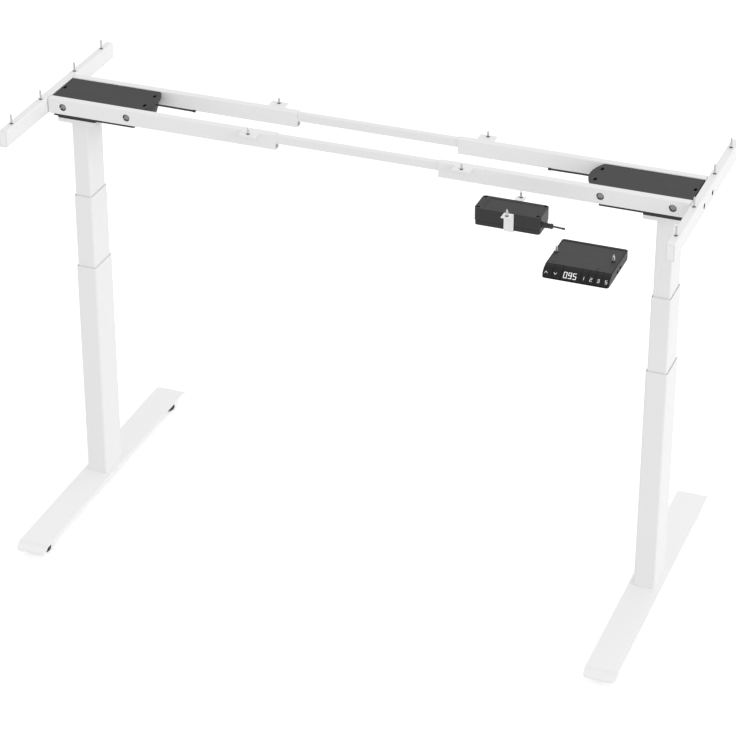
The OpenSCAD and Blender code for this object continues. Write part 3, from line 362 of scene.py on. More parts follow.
def drawn_metal(name, color):
    """Bare steel with streaks along its length."""
    made, tree, shader = new_material(name)
    surface = add_group(tree, "DrawnMetal", Color=color)
    tree.links.new(surface.outputs["Color"], shader.inputs["Base Color"])
    tree.links.new(surface.outputs["Roughness"], shader.inputs["Roughness"])
    raise_surface(tree, surface.outputs["Height"], shader, 0.15, 0.00001)
    shader.inputs["Metallic"].default_value = 1.0
    return made


def glowing_sign(name, color, strength):
    """Signs that glow a little: the display's digits by the display's own light, the printed key
    signs by a painted glow.
    """
    made, tree, shader = new_material(name)
    surface = add_group(tree, "SurfaceGrain", Color=color, Grain_Size=0.0008, Drift=0.02,
                        Roughness=0.4, Roughness_Drift=0.05)
    tree.links.new(surface.outputs["Color"], shader.inputs["Base Color"])
    tree.links.new(surface.outputs["Roughness"], shader.inputs["Roughness"])
    tree.links.new(surface.outputs["Color"], shader.inputs["Emission Color"])
    shader.inputs["Emission Strength"].default_value = strength
    return made


def shade(color, share):
    """A lighter or darker shade of a colour."""
    return tuple(part * share for part in color[:3]) + (1,)


def grey(level):
    return (level, level, level, 1)


MATERIALS = {}


def build_materials():
    """Makes every finish. A coat is given by its colour, grain in metres, drift of its colour,
    roughness and its drift, strength and height of its relief, share of rubbed marks."""
    s = finish_settings()
    paint, plastic, rubber = tuple(s.paint_color), tuple(s.plastic_color), tuple(s.rubber_color)
    grain = s.grain_size
    powder = (grain, 0.02, 0.48, 0.08, 0.35, 0.00003, 0.06)
    moulded = (0.0006, 0.06, 0.58, 0.08, 0.4, 0.00004, 0.05)
    MATERIALS.update({
        "white_powder": coated("WhitePowderCoat", paint, *powder),
        # Painted light: the feet carry the frame's powder coat made lighter, so their tops render
        # brighter
        "lit_foot_paint": coated("LitFootPaint", shade(paint, 1.06), *powder),
        "bar_paint": coated("BarPaint", shade(paint, 0.98), grain * 0.7, 0.02, 0.38, 0.1, 0.2,
                            marks=0.15),
        # Partly painted light: the end caps are plastic, made a shade lighter than the paint so the
        # front-facing caps render brighter
        "cap_plastic": coated("LitCapPlastic", shade(paint, 1.07), 0.0009, 0.015, 0.42, 0.06, 0.15),
        "nylon": coated("GuideNylon", (0.72, 0.7, 0.62, 1), 0.0012, 0.04, 0.35, 0.1, 0.1,
                        marks=0.2),
        "housing": coated("HousingPlastic", plastic, *moulded),
        "cover_plastic": coated("CoverPlastic", shade(plastic, 0.85), *moulded),
        "box_plastic": coated("BoxPlastic", shade(plastic, 0.76), 0.0006, 0.06, 0.44, 0.08, 0.4,
                              0.00004, marks=0.05, specular=0.33),
        "deep_plastic": coated("TrayPlastic", tuple(s.deep_plastic_color), 0.0007, 0.06, 0.62,
                               0.08, 0.35, 0.00003),
        "panel": coated("KeyPanel", tuple(s.panel_color), 0.0015, 0.04, 0.42, 0.06, 0.05, 0.00001,
                        marks=0.1, specular=0.22),
        "cable": coated("CableSheath", rubber, 0.0009, 0.06, 0.5, 0.08, 0.25),
        "rubber": coated("GlideRubber", rubber, 0.0013, 0.08, 0.72, 0.08, 0.4, 0.00004),
        "zinc": coated("ZincPlate", tuple(s.steel_color), 0.0007, 0.08, 0.62, 0.1, 0.15, 0.00001,
                       metallic=0.1),
        "screw": coated("ScrewZinc", (0.62, 0.62, 0.63, 1), 0.0006, 0.06, 0.3, 0.12, 0.1, 0.00001,
                        metallic=1.0),
        "collar": coated("GreyCollar", grey(0.13), 0.0009, 0.08, 0.6, 0.08, 0.3),
        "black_screw": coated("BlackScrew", grey(0.012), 0.0006, 0.1, 0.45, 0.1, 0.1, 0.00001),
        # Painted shade: a near-black matt coat for slots, recesses, holes, sockets, key undersides
        # and the gap under the handset's nose, where shade falls
        "painted_shade_black": coated("PaintedShadeBlack", grey(0.006), 0.0008, 0.1, 0.8, 0.06, 0.2,
                               specular=0.0),
        "drawn_steel": drawn_metal("GreasedSteel", (0.5, 0.5, 0.51, 1)),
        "motor_zinc": coated("MotorZinc", (0.32, 0.32, 0.33, 1), 0.0011, 0.08, 0.4, 0.12, 0.2,
                             metallic=1.0),
        # Painted light: the printed key signs get a faint glow of their own; the display's digits
        # glow as a display does
        "legend": glowing_sign("KeyLegendPaintedGlow", tuple(s.legend_color), 0.25),
        "digits": glowing_sign("DisplayDigits", grey(0.9), 0.4),
    })


def dress(obj, key):
    """Gives a piece one of the finishes, in every slot it has."""
    if not MATERIALS:
        build_materials()
    slots = obj.data.materials
    if len(slots) == 0:
        slots.append(MATERIALS[key])
    for i in range(len(slots)):
        slots[i] = MATERIALS[key]


# Finish of each CAD node, by its name without the side

NODE_FINISH = {
    "foot": "lit_foot_paint", "column_outer": "white_powder", "column_middle": "white_powder",
    "column_inner": "white_powder", "beam_front": "white_powder", "beam_rear": "white_powder",
    "side_bracket": "white_powder", "box_strap": "white_powder", "bar_front": "bar_paint",
    "bar_rear": "bar_paint", "end_caps": "cap_plastic", "outer_guides": "nylon",
    "middle_guides": "nylon", "lift_nut": "nylon", "glide_front": "rubber", "glide_rear": "rubber",
    "foot_bolts": "zinc", "frame_bolts": "zinc", "desk_screws": "zinc", "lift_screw": "drawn_steel",
    "spindle_tube": "drawn_steel", "drive_shaft": "drawn_steel", "motor": "motor_zinc",
    "motor_tray": "deep_plastic", "motor_cover": "cover_plastic", "motor_cable": "cable",
    "box_cable": "cable", "control_box_base": "box_plastic", "control_box_lid": "box_plastic",
    "handset_body": "housing", "handset_display": "panel",
}


def finish_of(node):
    """Name of a CAD node's finish."""
    if node.startswith("key_"):
        return "panel"
    for side in SIDES:
        if node.endswith("_" + side):
            node = node[: -len(side) - 1]
    return NODE_FINISH[node]


# Modelling helpers

def nothing_selected():
    if bpy.context.mode != "OBJECT":
        bpy.ops.object.mode_set(mode="OBJECT")
    bpy.ops.object.select_all(action="DESELECT")


def take(obj):
    """Makes obj the only selected and the active object."""
    nothing_selected()
    obj.select_set(True)
    bpy.context.view_layer.objects.active = obj


def seat(obj, name, body, finish):
    """Names a finished piece, puts its place into its mesh, dresses it and lets it ride."""
    take(obj)
    bpy.ops.object.transform_apply(location=True, rotation=True, scale=True)
    obj.name = name
    obj.data.name = name
    dress(obj, finish)
    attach(obj, body)
    return obj


# Operators

class DESK_OT_stage(bpy.types.Operator):
    """Adds the camera, the lights, the sky and the floor"""
    bl_idname = "desk.stage"
    bl_label = "Stage"
    bl_options = {"REGISTER", "UNDO"}

    def execute(self, context):
        s = stage_settings()
        nothing_selected()
        bpy.ops.object.camera_add(location=tuple(s.camera_place),
                                  rotation=(s.camera_tilt, 0, s.camera_turn))
        camera = context.active_object
        camera.name = "PhotoCamera"
        camera.data.sensor_fit = "HORIZONTAL"
        camera.data.sensor_width = 36
        camera.data.lens = s.lens
        camera.data.shift_y = s.camera_shift
        camera.data.clip_end = 100
        context.scene.camera = camera
        nothing_selected()
        bpy.ops.mesh.primitive_plane_add(size=FLOOR_SIZE, location=(0, 0, 0))
        floor = context.active_object
        floor.name = "PaleFloor"
        floor.data.materials.append(self.floor_material())
        self.soft_light("KeyLight", s.key_strength, *KEY_LIGHT)
        self.soft_light("RearFill", s.key_strength, *REAR_LIGHT)
        self.sky(s.sky_strength)
        context.scene.view_settings.view_transform = "Standard"
        return {"FINISHED"}

    def soft_light(self, name, strength, place, size, power):
        """Adds a round area light that looks at the frame's middle."""
        nothing_selected()
        bpy.ops.object.light_add(type="AREA", location=place)
        lamp = bpy.context.active_object
        lamp.name = name
        lamp.data.shape = "DISK"
        lamp.data.size = size
        lamp.data.energy = strength * power
        aim = Vector((0, FRAME_Y, AIM_Z)) - Vector(place)
        lamp.rotation_euler = aim.to_track_quat("-Z", "Y").to_euler()

    def floor_material(self):
        """Matt white that also glows a little for the camera, so the floor has no horizon."""
        made = bpy.data.materials.new("FloorWhite")
        made.use_nodes = True
        tree = made.node_tree
        tree.nodes.clear()
        base = add_node(tree, "ShaderNodeBsdfDiffuse")
        base.inputs["Color"].default_value = (0.85, 0.85, 0.85, 1)
        glow = add_node(tree, "ShaderNodeEmission")
        glow.inputs["Color"].default_value = (1, 1, 1, 1)
        path = add_node(tree, "ShaderNodeLightPath")
        seen = math_node(tree, "MAXIMUM", path.outputs["Is Camera Ray"],
                         math_node(tree, "MAXIMUM", path.outputs["Is Glossy Ray"],
                                   path.outputs["Is Transmission Ray"]))
        tree.links.new(math_node(tree, "MULTIPLY", seen, 0.4), glow.inputs["Strength"])
        both = add_node(tree, "ShaderNodeAddShader")
        tree.links.new(base.outputs[0], both.inputs[0])
        tree.links.new(glow.outputs[0], both.inputs[1])
        output = add_node(tree, "ShaderNodeOutputMaterial")
        tree.links.new(both.outputs[0], output.inputs["Surface"])
        return made

    def sky(self, strength):
        """Even white light; the camera sees it as plain white whatever its strength."""
        world = bpy.data.worlds.new("StudioSky")
        bpy.context.scene.world = world
        world.use_nodes = True
        tree = world.node_tree
        tree.nodes.clear()
        path = add_node(tree, "ShaderNodeLightPath")
        back = add_node(tree, "ShaderNodeBackground")
        seen = math_node(tree, "MAXIMUM", path.outputs["Is Camera Ray"],
                         path.outputs["Is Transmission Ray"])
        lift = math_node(tree, "MULTIPLY", seen, 1.0 - strength)
        tree.links.new(math_node(tree, "ADD", lift, strength), back.inputs["Strength"])
        output = add_node(tree, "ShaderNodeOutputWorld")
        tree.links.new(back.outputs[0], output.inputs["Surface"])


class DESK_OT_finishes(bpy.types.Operator):
    """Gives every CAD node its finish"""
    bl_idname = "desk.finishes"
    bl_label = "Finishes"
    bl_options = {"REGISTER", "UNDO"}

    def execute(self, context):
        for name, obj in frame["nodes"].items():
            dress(obj, finish_of(name))
        return {"FINISHED"}


# Softened copies of CAD nodes

# Rounding of the edges in millimetres, by the start of the node's name

SOFT_WIDTH = {
    "foot": 0.7, "column_outer": 0.25, "column_middle": 0.25, "column_inner": 0.35,
    "beam_front": 0.4, "beam_rear": 0.4, "bar_front": 0.3, "bar_rear": 0.3, "side_bracket": 0.4,
    "end_caps": 0.4, "motor_cover": 0.6, "motor_tray": 0.5, "control_box_lid": 1.1,
    "control_box_base": 1.2, "box_strap": 0.35, "handset_body": 0.45, "handset_display": 0.6,
    "key": 0.8, "frame_bolts": 0.35, "foot_bolts": 0.35, "motor": 0.8, "glide": 0.9,
    "spindle_tube": 0.3, "lift_screw": 0.3, "lift_nut": 0.4, "outer_guides": 0.3,
    "middle_guides": 0.3, "drive_shaft": 0.3,
}


MERGE_DISTANCE = 0.000002
FLAT_ANGLE, SHARP_ANGLE = math.radians(0.5), math.radians(30)
SOFTEN_ANGLE, SMOOTH_ANGLE = math.radians(32), math.radians(38)


def soft_width(node):
    """How far a node's edges are rounded; 0 for a node that is not softened."""
    fits = [key for key in SOFT_WIDTH if node.startswith(key)]
    return SOFT_WIDTH[max(fits, key=len)] * MM if fits else 0


def merged_copy(node, name):
    """A copy of a CAD node with its triangles merged into clean faces."""
    source = frame["nodes"][node]
    piece = bpy.data.objects.new(name, source.data.copy())
    bpy.context.scene.collection.objects.link(piece)
    piece.matrix_world = source.matrix_world.copy()
    take(piece)
    bpy.ops.object.transform_apply(location=True, rotation=True, scale=True)
    bpy.ops.object.mode_set(mode="EDIT")
    bpy.ops.mesh.select_all(action="SELECT")
    bpy.ops.mesh.remove_doubles(threshold=MERGE_DISTANCE)
    bpy.ops.mesh.dissolve_limited(angle_limit=FLAT_ANGLE)
    bpy.ops.mesh.normals_make_consistent(inside=False)
    bpy.ops.object.mode_set(mode="OBJECT")
    return piece


def soften(piece, width, segments=2):
    """Rounds the sharp edges of a piece and smooths what lies between them."""
    take(piece)
    bpy.ops.object.modifier_add(type="BEVEL")
    rounding = piece.modifiers[-1]
    rounding.width = width
    rounding.segments = segments
    rounding.limit_method = "ANGLE"
    rounding.angle_limit = SOFTEN_ANGLE
    rounding.use_clamp_overlap = True
    bpy.ops.object.modifier_apply(modifier=rounding.name)
    even_shading(piece)


def even_shading(piece):
    """Smooth shading that keeps large flat faces flat."""
    take(piece)
    bpy.ops.object.shade_smooth_by_angle(angle=SMOOTH_ANGLE)
    bpy.ops.object.modifier_add(type="WEIGHTED_NORMAL")
    weighted = piece.modifiers[-1]
    weighted.mode = "FACE_AREA"
    weighted.weight = 80
    weighted.keep_sharp = True
    bpy.ops.object.modifier_apply(modifier=weighted.name)


def select(piece, kind, wanted):
    """Enters edit mode with the corners, edges or faces selected that pass wanted."""
    take(piece)
    bpy.ops.object.mode_set(mode="EDIT")
    bpy.ops.mesh.select_mode(type=kind)
    bpy.ops.mesh.select_all(action="DESELECT")
    mesh = bmesh.from_edit_mesh(piece.data)
    for part in {"VERT": mesh.verts, "EDGE": mesh.edges, "FACE": mesh.faces}[kind]:
        part.select_set(wanted(part))
    bmesh.update_edit_mesh(piece.data)


def slab(center, size, turn=0):
    """A block to cut with or to shape further; its size is in millimetres."""
    nothing_selected()
    bpy.ops.mesh.primitive_cube_add(size=1, location=center, rotation=(0, 0, turn),
                                    scale=[side * MM for side in size])
    made = bpy.context.active_object
    take(made)
    bpy.ops.object.transform_apply(location=True, rotation=True, scale=True)
    return made


def cut(piece, cutter):
    """Takes the cutter's shape out of a piece and removes the cutter."""
    take(piece)
    bpy.ops.object.modifier_add(type="BOOLEAN")
    hollow = piece.modifiers[-1]
    hollow.operation = "DIFFERENCE"
    hollow.solver = "EXACT"
    hollow.object = cutter
    bpy.ops.object.modifier_apply(modifier=hollow.name)
    bpy.data.objects.remove(cutter, do_unlink=True)


def join(pieces):
    """Makes one object of several, with the first one's materials."""
    nothing_selected()
    for piece in pieces:
        piece.select_set(True)
    bpy.context.view_layer.objects.active = pieces[0]
    bpy.ops.object.join()
    return pieces[0]


def rod(place, axis, radius, length, sides=24):
    """A cylinder that starts at place and runs along an axis; the caller shapes it further."""
    axis = Vector(axis).normalized()
    turn = axis.to_track_quat("Z", "Y").to_euler()
    nothing_selected()
    bpy.ops.mesh.primitive_cylinder_add(vertices=sides, radius=radius, depth=length,
                                        location=Vector(place) + axis * (length / 2), rotation=turn)
    made = bpy.context.active_object
    take(made)
    bpy.ops.object.transform_apply(location=True, rotation=True, scale=True)
    return made


def at(x, y, z):
    """A place in millimetres from the floor between the columns, as metres in the frame."""
    return Vector((x * MM, FRAME_Y + y * MM, z * MM))


def body_of(node):
    """The moving body that a CAD node belongs to."""
    return frame["nodes"][node]["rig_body"]


def near(spots, reach):
    """A test of a face: it passes when its middle is within reach, in mm, of one of the spots."""
    return lambda face: min((face.center - spot).length for spot in spots) < reach * MM


def paint_faces(piece, finish, wanted):
    """Gives the faces that pass wanted another finish."""
    piece.data.materials.append(MATERIALS[finish])
    for face in piece.data.polygons:
        if wanted(face):
            face.material_index = len(piece.data.materials) - 1


def cover_slots(node):
    """Places of the slots that lead to a motor cover's screws."""
    sign = SIGN[node.split("_")[2]]
    return [at(sign * x, y, COVER_SLOT_Z) for x, y in COVER_SCREWS]


class DESK_OT_softened(bpy.types.Operator):
    """Replaces the plain nodes by copies with rounded edges"""
    bl_idname = "desk.softened"
    bl_label = "Softened Pieces"
    bl_options = {"REGISTER", "UNDO"}

    def execute(self, context):
        for node in sorted(frame["nodes"]):
            width = soft_width(node)
            if not width or node.startswith("frame_bolts"):
                continue
            piece = merged_copy(node, node + "_shell")
            self.shape(node, piece)
            soften(piece, width, segments=3 if width > 0.0007 else 2)
            seat(piece, node + "_shell", body_of(node), finish_of(node))
            self.paint_parts(node, piece)
            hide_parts(node)
        return {"FINISHED"}

    def shape(self, node, piece):
        """Forms that only some nodes have."""
        if node.startswith("motor_cover"):
            for spot in cover_slots(node):
                cut(piece, slab(spot, COVER_SLOT))
        if node.startswith("beam_"):
            self.beam_seam(node, piece)
        if node.startswith("motor_tray"):
            self.lean(node, piece)
        if node in ("handset_body", "key_up", "key_save"):
            for sign in (-1, 1):
                cut(piece, self.nose_corner(sign))
        if node == "handset_body":
            self.round_nose(node, piece)

    def beam_seam(self, node, piece):
        """The fine seam between a beam's end and the side bracket."""
        sign = SIGN[node.split("_")[2]]
        row = -1 if "front" in node else 1
        for (x, y, z), size in BEAM_SEAMS:
            cut(piece, slab(at(sign * x, row * y, z), size))

    def round_nose(self, node, piece):
        """Rounds the handset's side edges beside the keys."""
        low, high = node_box(node)

        def beside_keys(corner):
            place = corner.co
            side = min(abs(place.x - low.x), abs(place.x - high.x)) < 0.1 * MM
            return side and place.y < FRAME_Y + NOSE_EDGE_Y * MM and place.z > low.z + 0.1 * MM

        def wanted(edge):
            sharp = len(edge.link_faces) == 2 and edge.calc_face_angle(0) > SHARP_ANGLE
            return sharp and all(beside_keys(corner) for corner in edge.verts)

        select(piece, "EDGE", wanted)
        bpy.ops.mesh.bevel(offset=NOSE_EDGE_R * MM, segments=4, affect="EDGES",
                           clamp_overlap=True)
        bpy.ops.object.mode_set(mode="OBJECT")

    def nose_corner(self, sign):
        """What lies outside the rounding of a lower front corner of the handset."""
        side = HANDSET_X + sign * HANDSET_HALF
        half = NOSE_CORNER_R / 2
        width = NOSE_CORNER_R + 0.6
        corner = slab(at(side - sign * half, NOSE_Y + half, 915), (width, width, 30))
        inside = rod(at(side - sign * NOSE_CORNER_R, NOSE_Y + NOSE_CORNER_R, 890), (0, 0, 1),
                     NOSE_CORNER_R * MM, 50 * MM, 48)
        cut(corner, inside)
        return corner

    def lean(self, node, piece):
        """Slants a motor tray's inner end: the well's lower corners move towards the column."""
        low, high = node_box(node)
        inner_end = min(abs(low.x), abs(high.x)) + TRAY_END * MM
        select(piece, "VERT", lambda corner: (abs(corner.co.x) < inner_end
                                              and corner.co.z < high.z - TRAY_RIM * MM))
        bpy.ops.transform.translate(
            value=(SIGN[node.split("_")[2]] * TRAY_LEAN * MM, 0, 0), use_proportional_edit=True,
            proportional_edit_falloff="LINEAR", proportional_size=TRAY_LEAN_REACH * MM)
        bpy.ops.object.mode_set(mode="OBJECT")

    def paint_parts(self, node, piece):
        """A second finish on some faces of a piece, mostly painted shade in slots, recesses, holes
        and under the keys.
        """
        high = node_box(node)[1]
        if node.startswith("motor_cover"):
            # Painted shade in the slots that lead to the cover screws
            close = near(cover_slots(node), 8)
            paint_faces(piece, "painted_shade_black",
                        lambda face: face.center.z < high.z - 0.3 * MM and close(face))
        if node == "control_box_lid":
            # Painted shade in the recesses of the box lid's screws
            close = near([at(BOX_X + sx * BOX_SCREW_X, BOX_Y + sy * BOX_SCREW_Y, BOX_TOP_Z)
                          for sx, sy in BOX_SCREWS], 5)
            paint_faces(piece, "painted_shade_black",
                        lambda face: face.center.z < high.z - 0.2 * MM and close(face))
        if node.startswith("side_bracket"):
            # Painted shade on the walls of the holes for the bracket bolts
            sign = SIGN[node.split("_")[2]]
            close = near([at(sign * BRACKET_HOLE_X, y, BRACKET_BOLT_Z) for y in BRACKET_BOLT_Y], 9)
            paint_faces(piece, "painted_shade_black",
                        lambda face: abs(face.normal.x) < 0.6 and close(face))
        if node.startswith("key_"):
            # Painted shade on the undersides of the keys
            paint_faces(piece, "painted_shade_black", lambda face: face.normal.z < -0.02)
        if node == "handset_body":
            self.paint_handset(piece)

    def paint_handset(self, piece):
        """The panel's frame on the nose, painted shade on the nose's lower edge and painted shade
        in the sockets of the handset.
        """
        def on_nose(face):
            return face.center.y < FRAME_Y + PANEL_EDGE_Y * MM and abs(face.normal.x) < 0.9

        close = near([at(PORT_X, y, PORT_Z) for y in PORT_Y], 7)
        paint_faces(piece, "panel", on_nose)
        # Painted shade on the nose's downward faces
        paint_faces(piece, "painted_shade_black", lambda face: on_nose(face) and face.normal.z < 0.1)
        # Painted shade in the sockets in the handset's side
        paint_faces(piece, "painted_shade_black", lambda face: abs(face.normal.x) < 0.6 and close(face))


class DESK_OT_bolts(bpy.types.Operator):
    """Bolts of the cross frame with hexagon sockets; the cover screws and the bracket bolts get
    painted shade
    """
    bl_idname = "desk.bolts"
    bl_label = "Frame Bolts"
    bl_options = {"REGISTER", "UNDO"}

    def execute(self, context):
        for side in SIDES:
            node = "frame_bolts_" + side
            piece = merged_copy(node, node + "_shell")
            soften(piece, soft_width(node))
            for socket in self.sockets(SIGN[side]):
                cut(piece, socket)
            even_shading(piece)
            seat(piece, node + "_shell", body_of(node), "zinc")
            # Painted shade on the heads of the cover screws and of the bolts in the side brackets
            paint_faces(piece, "painted_shade_black", self.takes_painted_shade)
            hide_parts(node)
        return {"FINISHED"}

    def sockets(self, sign):
        """Hexagonal cutters for the heads of one side's bolts."""
        made = [rod(at(sign * x, row * BEAM_BOLT_Y, BEAM_BOLT_Z), (0, -row, 0), 1.9 * MM,
                    1.2 * MM, 6) for x in BEAM_BOLT_X for row in (-1, 1)]
        made += [rod(at(sign * BRACKET_BOLT_X, y, BRACKET_BOLT_Z), (-sign, 0, 0), 2.9 * MM,
                     3.2 * MM, 6) for y in BRACKET_BOLT_Y]
        made += [rod(at(sign * x, y, COVER_SCREW_Z), (0, 0, -1), 1.35 * MM, 1.3 * MM, 6)
                 for x, y in COVER_SCREWS]
        return made

    def takes_painted_shade(self, face):
        """Passes the cover screws and the bolts in the side brackets, in millimetres; their heads
        get painted shade.
        """
        x, y, z = abs(face.center.x) / MM, abs(face.center.y - FRAME_Y) / MM, face.center.z / MM
        return (x < 666 and y < 30 and z > 908.5) or x > 671


# Desktop screws: x, y, height of the point above the brackets and depth of the head under their
# top, in millimetres; rings: width, height and finish

FRAME_SCREWS = [(679, s * y, 22.5, 2.5) for y in (202, 76) for s in (-1, 1)]
FRAME_SCREWS += [(222, s * 79, 14.5, 3.0) for s in (-1, 1)]
STRAP_SCREWS = [(366.5, BOX_Y - 41, 15.5, 2.0), (366.5, BOX_Y + 42.5, 15.5, 2.0)]
HANDSET_SCREWS = [(495, -341.5, 15, 10.2), (602, -341.5, 15, 10.2)]
GREY_RING = (7.0, 1.1, "collar")
BLACK_RING = (7.5, 1.2, "rubber")
SCREW_CORE, SCREW_TAPER, THREAD_PITCH = 1.85, 4.5, 2.1


def wood_screw(place, rise, low, name, body):
    """Pointed screw with a rolled thread: it starts at low and ends rise above place, in mm."""
    x, y, z = place
    tip, taper, core = z + rise, SCREW_TAPER, SCREW_CORE
    shank = rod(at(x, y, low), (0, 0, 1), core * MM, (tip - taper - low) * MM, 14)
    point = rod(at(x, y, tip - taper), (0, 0, 1), core * MM, taper * MM, 14)
    select(point, "VERT", lambda corner: corner.co.z > (tip - 0.5) * MM)
    bpy.ops.transform.resize(value=(0.06, 0.06, 1))
    bpy.ops.object.mode_set(mode="OBJECT")
    start = z + 2.6
    turns = max(2, int((tip - taper + 1.5 - start) / THREAD_PITCH))
    nothing_selected()
    bpy.ops.mesh.primitive_circle_add(vertices=3, radius=0.55 * MM, fill_type="NOTHING",
                                      location=((core + 0.12) * MM, 0, 0),
                                      rotation=(math.pi / 2, math.pi / 2, 0))
    coil = bpy.context.active_object
    take(coil)
    bpy.ops.object.transform_apply(location=True, rotation=True, scale=True)
    bpy.ops.object.modifier_add(type="SCREW")
    winding = coil.modifiers[-1]
    winding.axis = "Z"
    winding.screw_offset = THREAD_PITCH * MM
    winding.iterations = turns
    winding.steps = 14
    winding.render_steps = 14
    bpy.ops.object.modifier_apply(modifier=winding.name)
    coil.location = at(x, y, start)
    take(coil)
    bpy.ops.object.transform_apply(location=True, rotation=True, scale=True)
    head = rod(at(x, y, low - 2.2), (0, 0, 1), 3.9 * MM, 2.4 * MM, 20)
    soften(head, 0.5 * MM)
    made = join([shank, point, coil, head])
    take(made)
    bpy.ops.object.mode_set(mode="EDIT")
    bpy.ops.mesh.select_all(action="SELECT")
    bpy.ops.mesh.normals_make_consistent(inside=False)
    bpy.ops.object.mode_set(mode="OBJECT")
    bpy.ops.object.shade_smooth_by_angle(angle=math.radians(40))
    return seat(made, name, body, "screw")


def collar(place, kind, name, body):
    """Soft ring that holds a screw in its hole."""
    across, height, finish = kind
    ring = rod(place, (0, 0, 1), across / 2 * MM, height * MM, 28)
    hole = rod(Vector(place) - Vector((0, 0, MM)), (0, 0, 1), 2.3 * MM, (height + 3) * MM, 20)
    cut(ring, hole)
    soften(ring, 0.55 * MM, 3)
    return seat(ring, name, body, finish)


class DESK_OT_screws(bpy.types.Operator):
    """Threaded desktop screws with their rubber collars"""
    bl_idname = "desk.screws"
    bl_label = "Desktop Screws"
    bl_options = {"REGISTER", "UNDO"}

    def execute(self, context):
        for side in SIDES:
            sign = SIGN[side]
            node = "desk_screws_" + side
            body = body_of(node)
            places = [(sign * x, y, rise, below, GREY_RING) for x, y, rise, below in FRAME_SCREWS]
            if side == "right":
                places += [spot + (GREY_RING,) for spot in STRAP_SCREWS]
                places += [spot + (BLACK_RING,) for spot in HANDSET_SCREWS]
            for i, (x, y, rise, below, ring) in enumerate(places):
                tag = side + "_" + str(i)
                wood_screw((x, y, TOP), rise, TOP - below, "DeskScrew_" + tag, body)
                collar(at(x, y, TOP), ring, "ScrewCollar_" + tag, body)
            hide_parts(node)
        return {"FINISHED"}


# Cables

def cord_curve(name, points, diameter):
    """A round cord through the points, in metres."""
    curve = bpy.data.curves.new(name, "CURVE")
    curve.dimensions = "3D"
    curve.bevel_depth = diameter / 2
    curve.bevel_resolution = 4
    curve.use_fill_caps = True
    line = curve.splines.new("POLY")
    line.points.add(len(points) - 1)
    for spot, place in zip(line.points, points):
        spot.co = (place.x, place.y, place.z, 1)
    piece = bpy.data.objects.new(name, curve)
    bpy.context.scene.collection.objects.link(piece)
    return piece


# Leads: run and height in millimetres from where they leave the part; the strain relief's rings:
# start, length and radius

MOTOR_LEAD = [(0, -8.2), (-3, -8.2), (-8, -8.2), (-13, -8.2), (-18, -8.2), (-23, -8.2),
              (-28, -8.3), (-33, -8.3), (-38, -8.4), (-43, -8.5), (-48, -8.5), (-53, -8.5),
              (-58, -8.6), (-63, -8.6), (-68, -8.6), (-73, -8.6), (-78, -8.6), (-83.6, -8.6)]
BOX_LEAD = [(0, 0), (3, 0), (6, 0), (9, 0), (12, 0), (15, 0), (18, 0), (21, 0), (24, 0), (27, 0),
            (30, -0.1), (33, -0.3), (36, -0.5), (39, -0.8), (44.2, -0.8)]
MOTOR_LEAD_X, MOTOR_PLUG_X, MOTOR_PLUG_Z = 455, 377, -8.6
BOX_LEAD_X, BOX_LEAD_Y, BOX_LEAD_Z = 427.3, -213.5, -18
BOX_PLUG = (39, -0.8)
RELIEF = [(0, 3.2, 6.0), (3.2, 1.2, 4.9), (4.4, 2.6, 5.6), (7.0, 1.2, 4.6), (8.2, 2.6, 5.2),
          (10.8, 1.2, 4.3), (12.0, 2.6, 4.9), (14.6, 1.6, 4.1), (16.0, 5.0, 5.25)]


def small_plug(end, axis, radius, length, name, body):
    """Moulded end of a lead: a sleeve with a shoulder and a recessed face."""
    plug = rod(end, axis, radius, length, 24)
    select(plug, "FACE", lambda face: face.normal.dot(Vector(axis)) > 0.9)
    bpy.ops.mesh.inset(thickness=radius * 0.28, depth=0)
    bpy.ops.mesh.inset(thickness=radius * 0.08, depth=-length * 0.25)
    bpy.ops.object.mode_set(mode="OBJECT")
    soften(plug, 0.35 * MM)
    return seat(plug, name, body, "cable")


class DESK_OT_cords(bpy.types.Operator):
    """Motor leads and the control box lead, each with its moulded end"""
    bl_idname = "desk.cords"
    bl_label = "Cables"
    bl_options = {"REGISTER", "UNDO"}

    def execute(self, context):
        for side in SIDES:
            sign = SIGN[side]
            node = "motor_cable_" + side
            body = body_of(node)
            points = [at(sign * (MOTOR_LEAD_X + run), 0, TOP + z) for run, z in MOTOR_LEAD]
            lead = cord_curve("MotorLead_" + side, points, 4 * MM)
            dress(lead, "cable")
            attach(lead, body)
            plug = small_plug(at(sign * MOTOR_PLUG_X, 0, TOP + MOTOR_PLUG_Z), (-sign, 0, 0),
                              2.35 * MM, 6 * MM, "MotorLeadEnd_" + side, body)
            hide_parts(node)
        body = body_of("box_cable")
        start = at(BOX_LEAD_X, BOX_LEAD_Y, TOP + BOX_LEAD_Z)
        points = [start + Vector((x * MM, 0, z * MM)) for x, z in BOX_LEAD]
        lead = cord_curve("BoxLead", points, 3.6 * MM)
        dress(lead, "cable")
        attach(lead, body)
        plug = small_plug(start + Vector((BOX_PLUG[0] * MM, 0, BOX_PLUG[1] * MM)), (1, 0, 0),
                          2.1 * MM, 5.5 * MM, "BoxLeadEnd", body)
        relief = self.relief(start, body)
        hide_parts("box_cable")
        return {"FINISHED"}

    def relief(self, start, body):
        """Tapered strain relief with ribs and a collar at its end."""
        parts = []
        for x, length, radius in RELIEF:
            rib = rod(start + Vector((x * MM, 0, 0)), (1, 0, 0), radius * MM,
                      (length + 0.1) * MM, 24)
            soften(rib, 0.45 * MM)
            parts.append(rib)
        return seat(join(parts), "BoxLeadRelief", body, "cable")


# Signs on the handset's panel: middle and radius of its curve, and what is printed on it with x,
# width, height and stroke in millimetres and the place on the curve in degrees

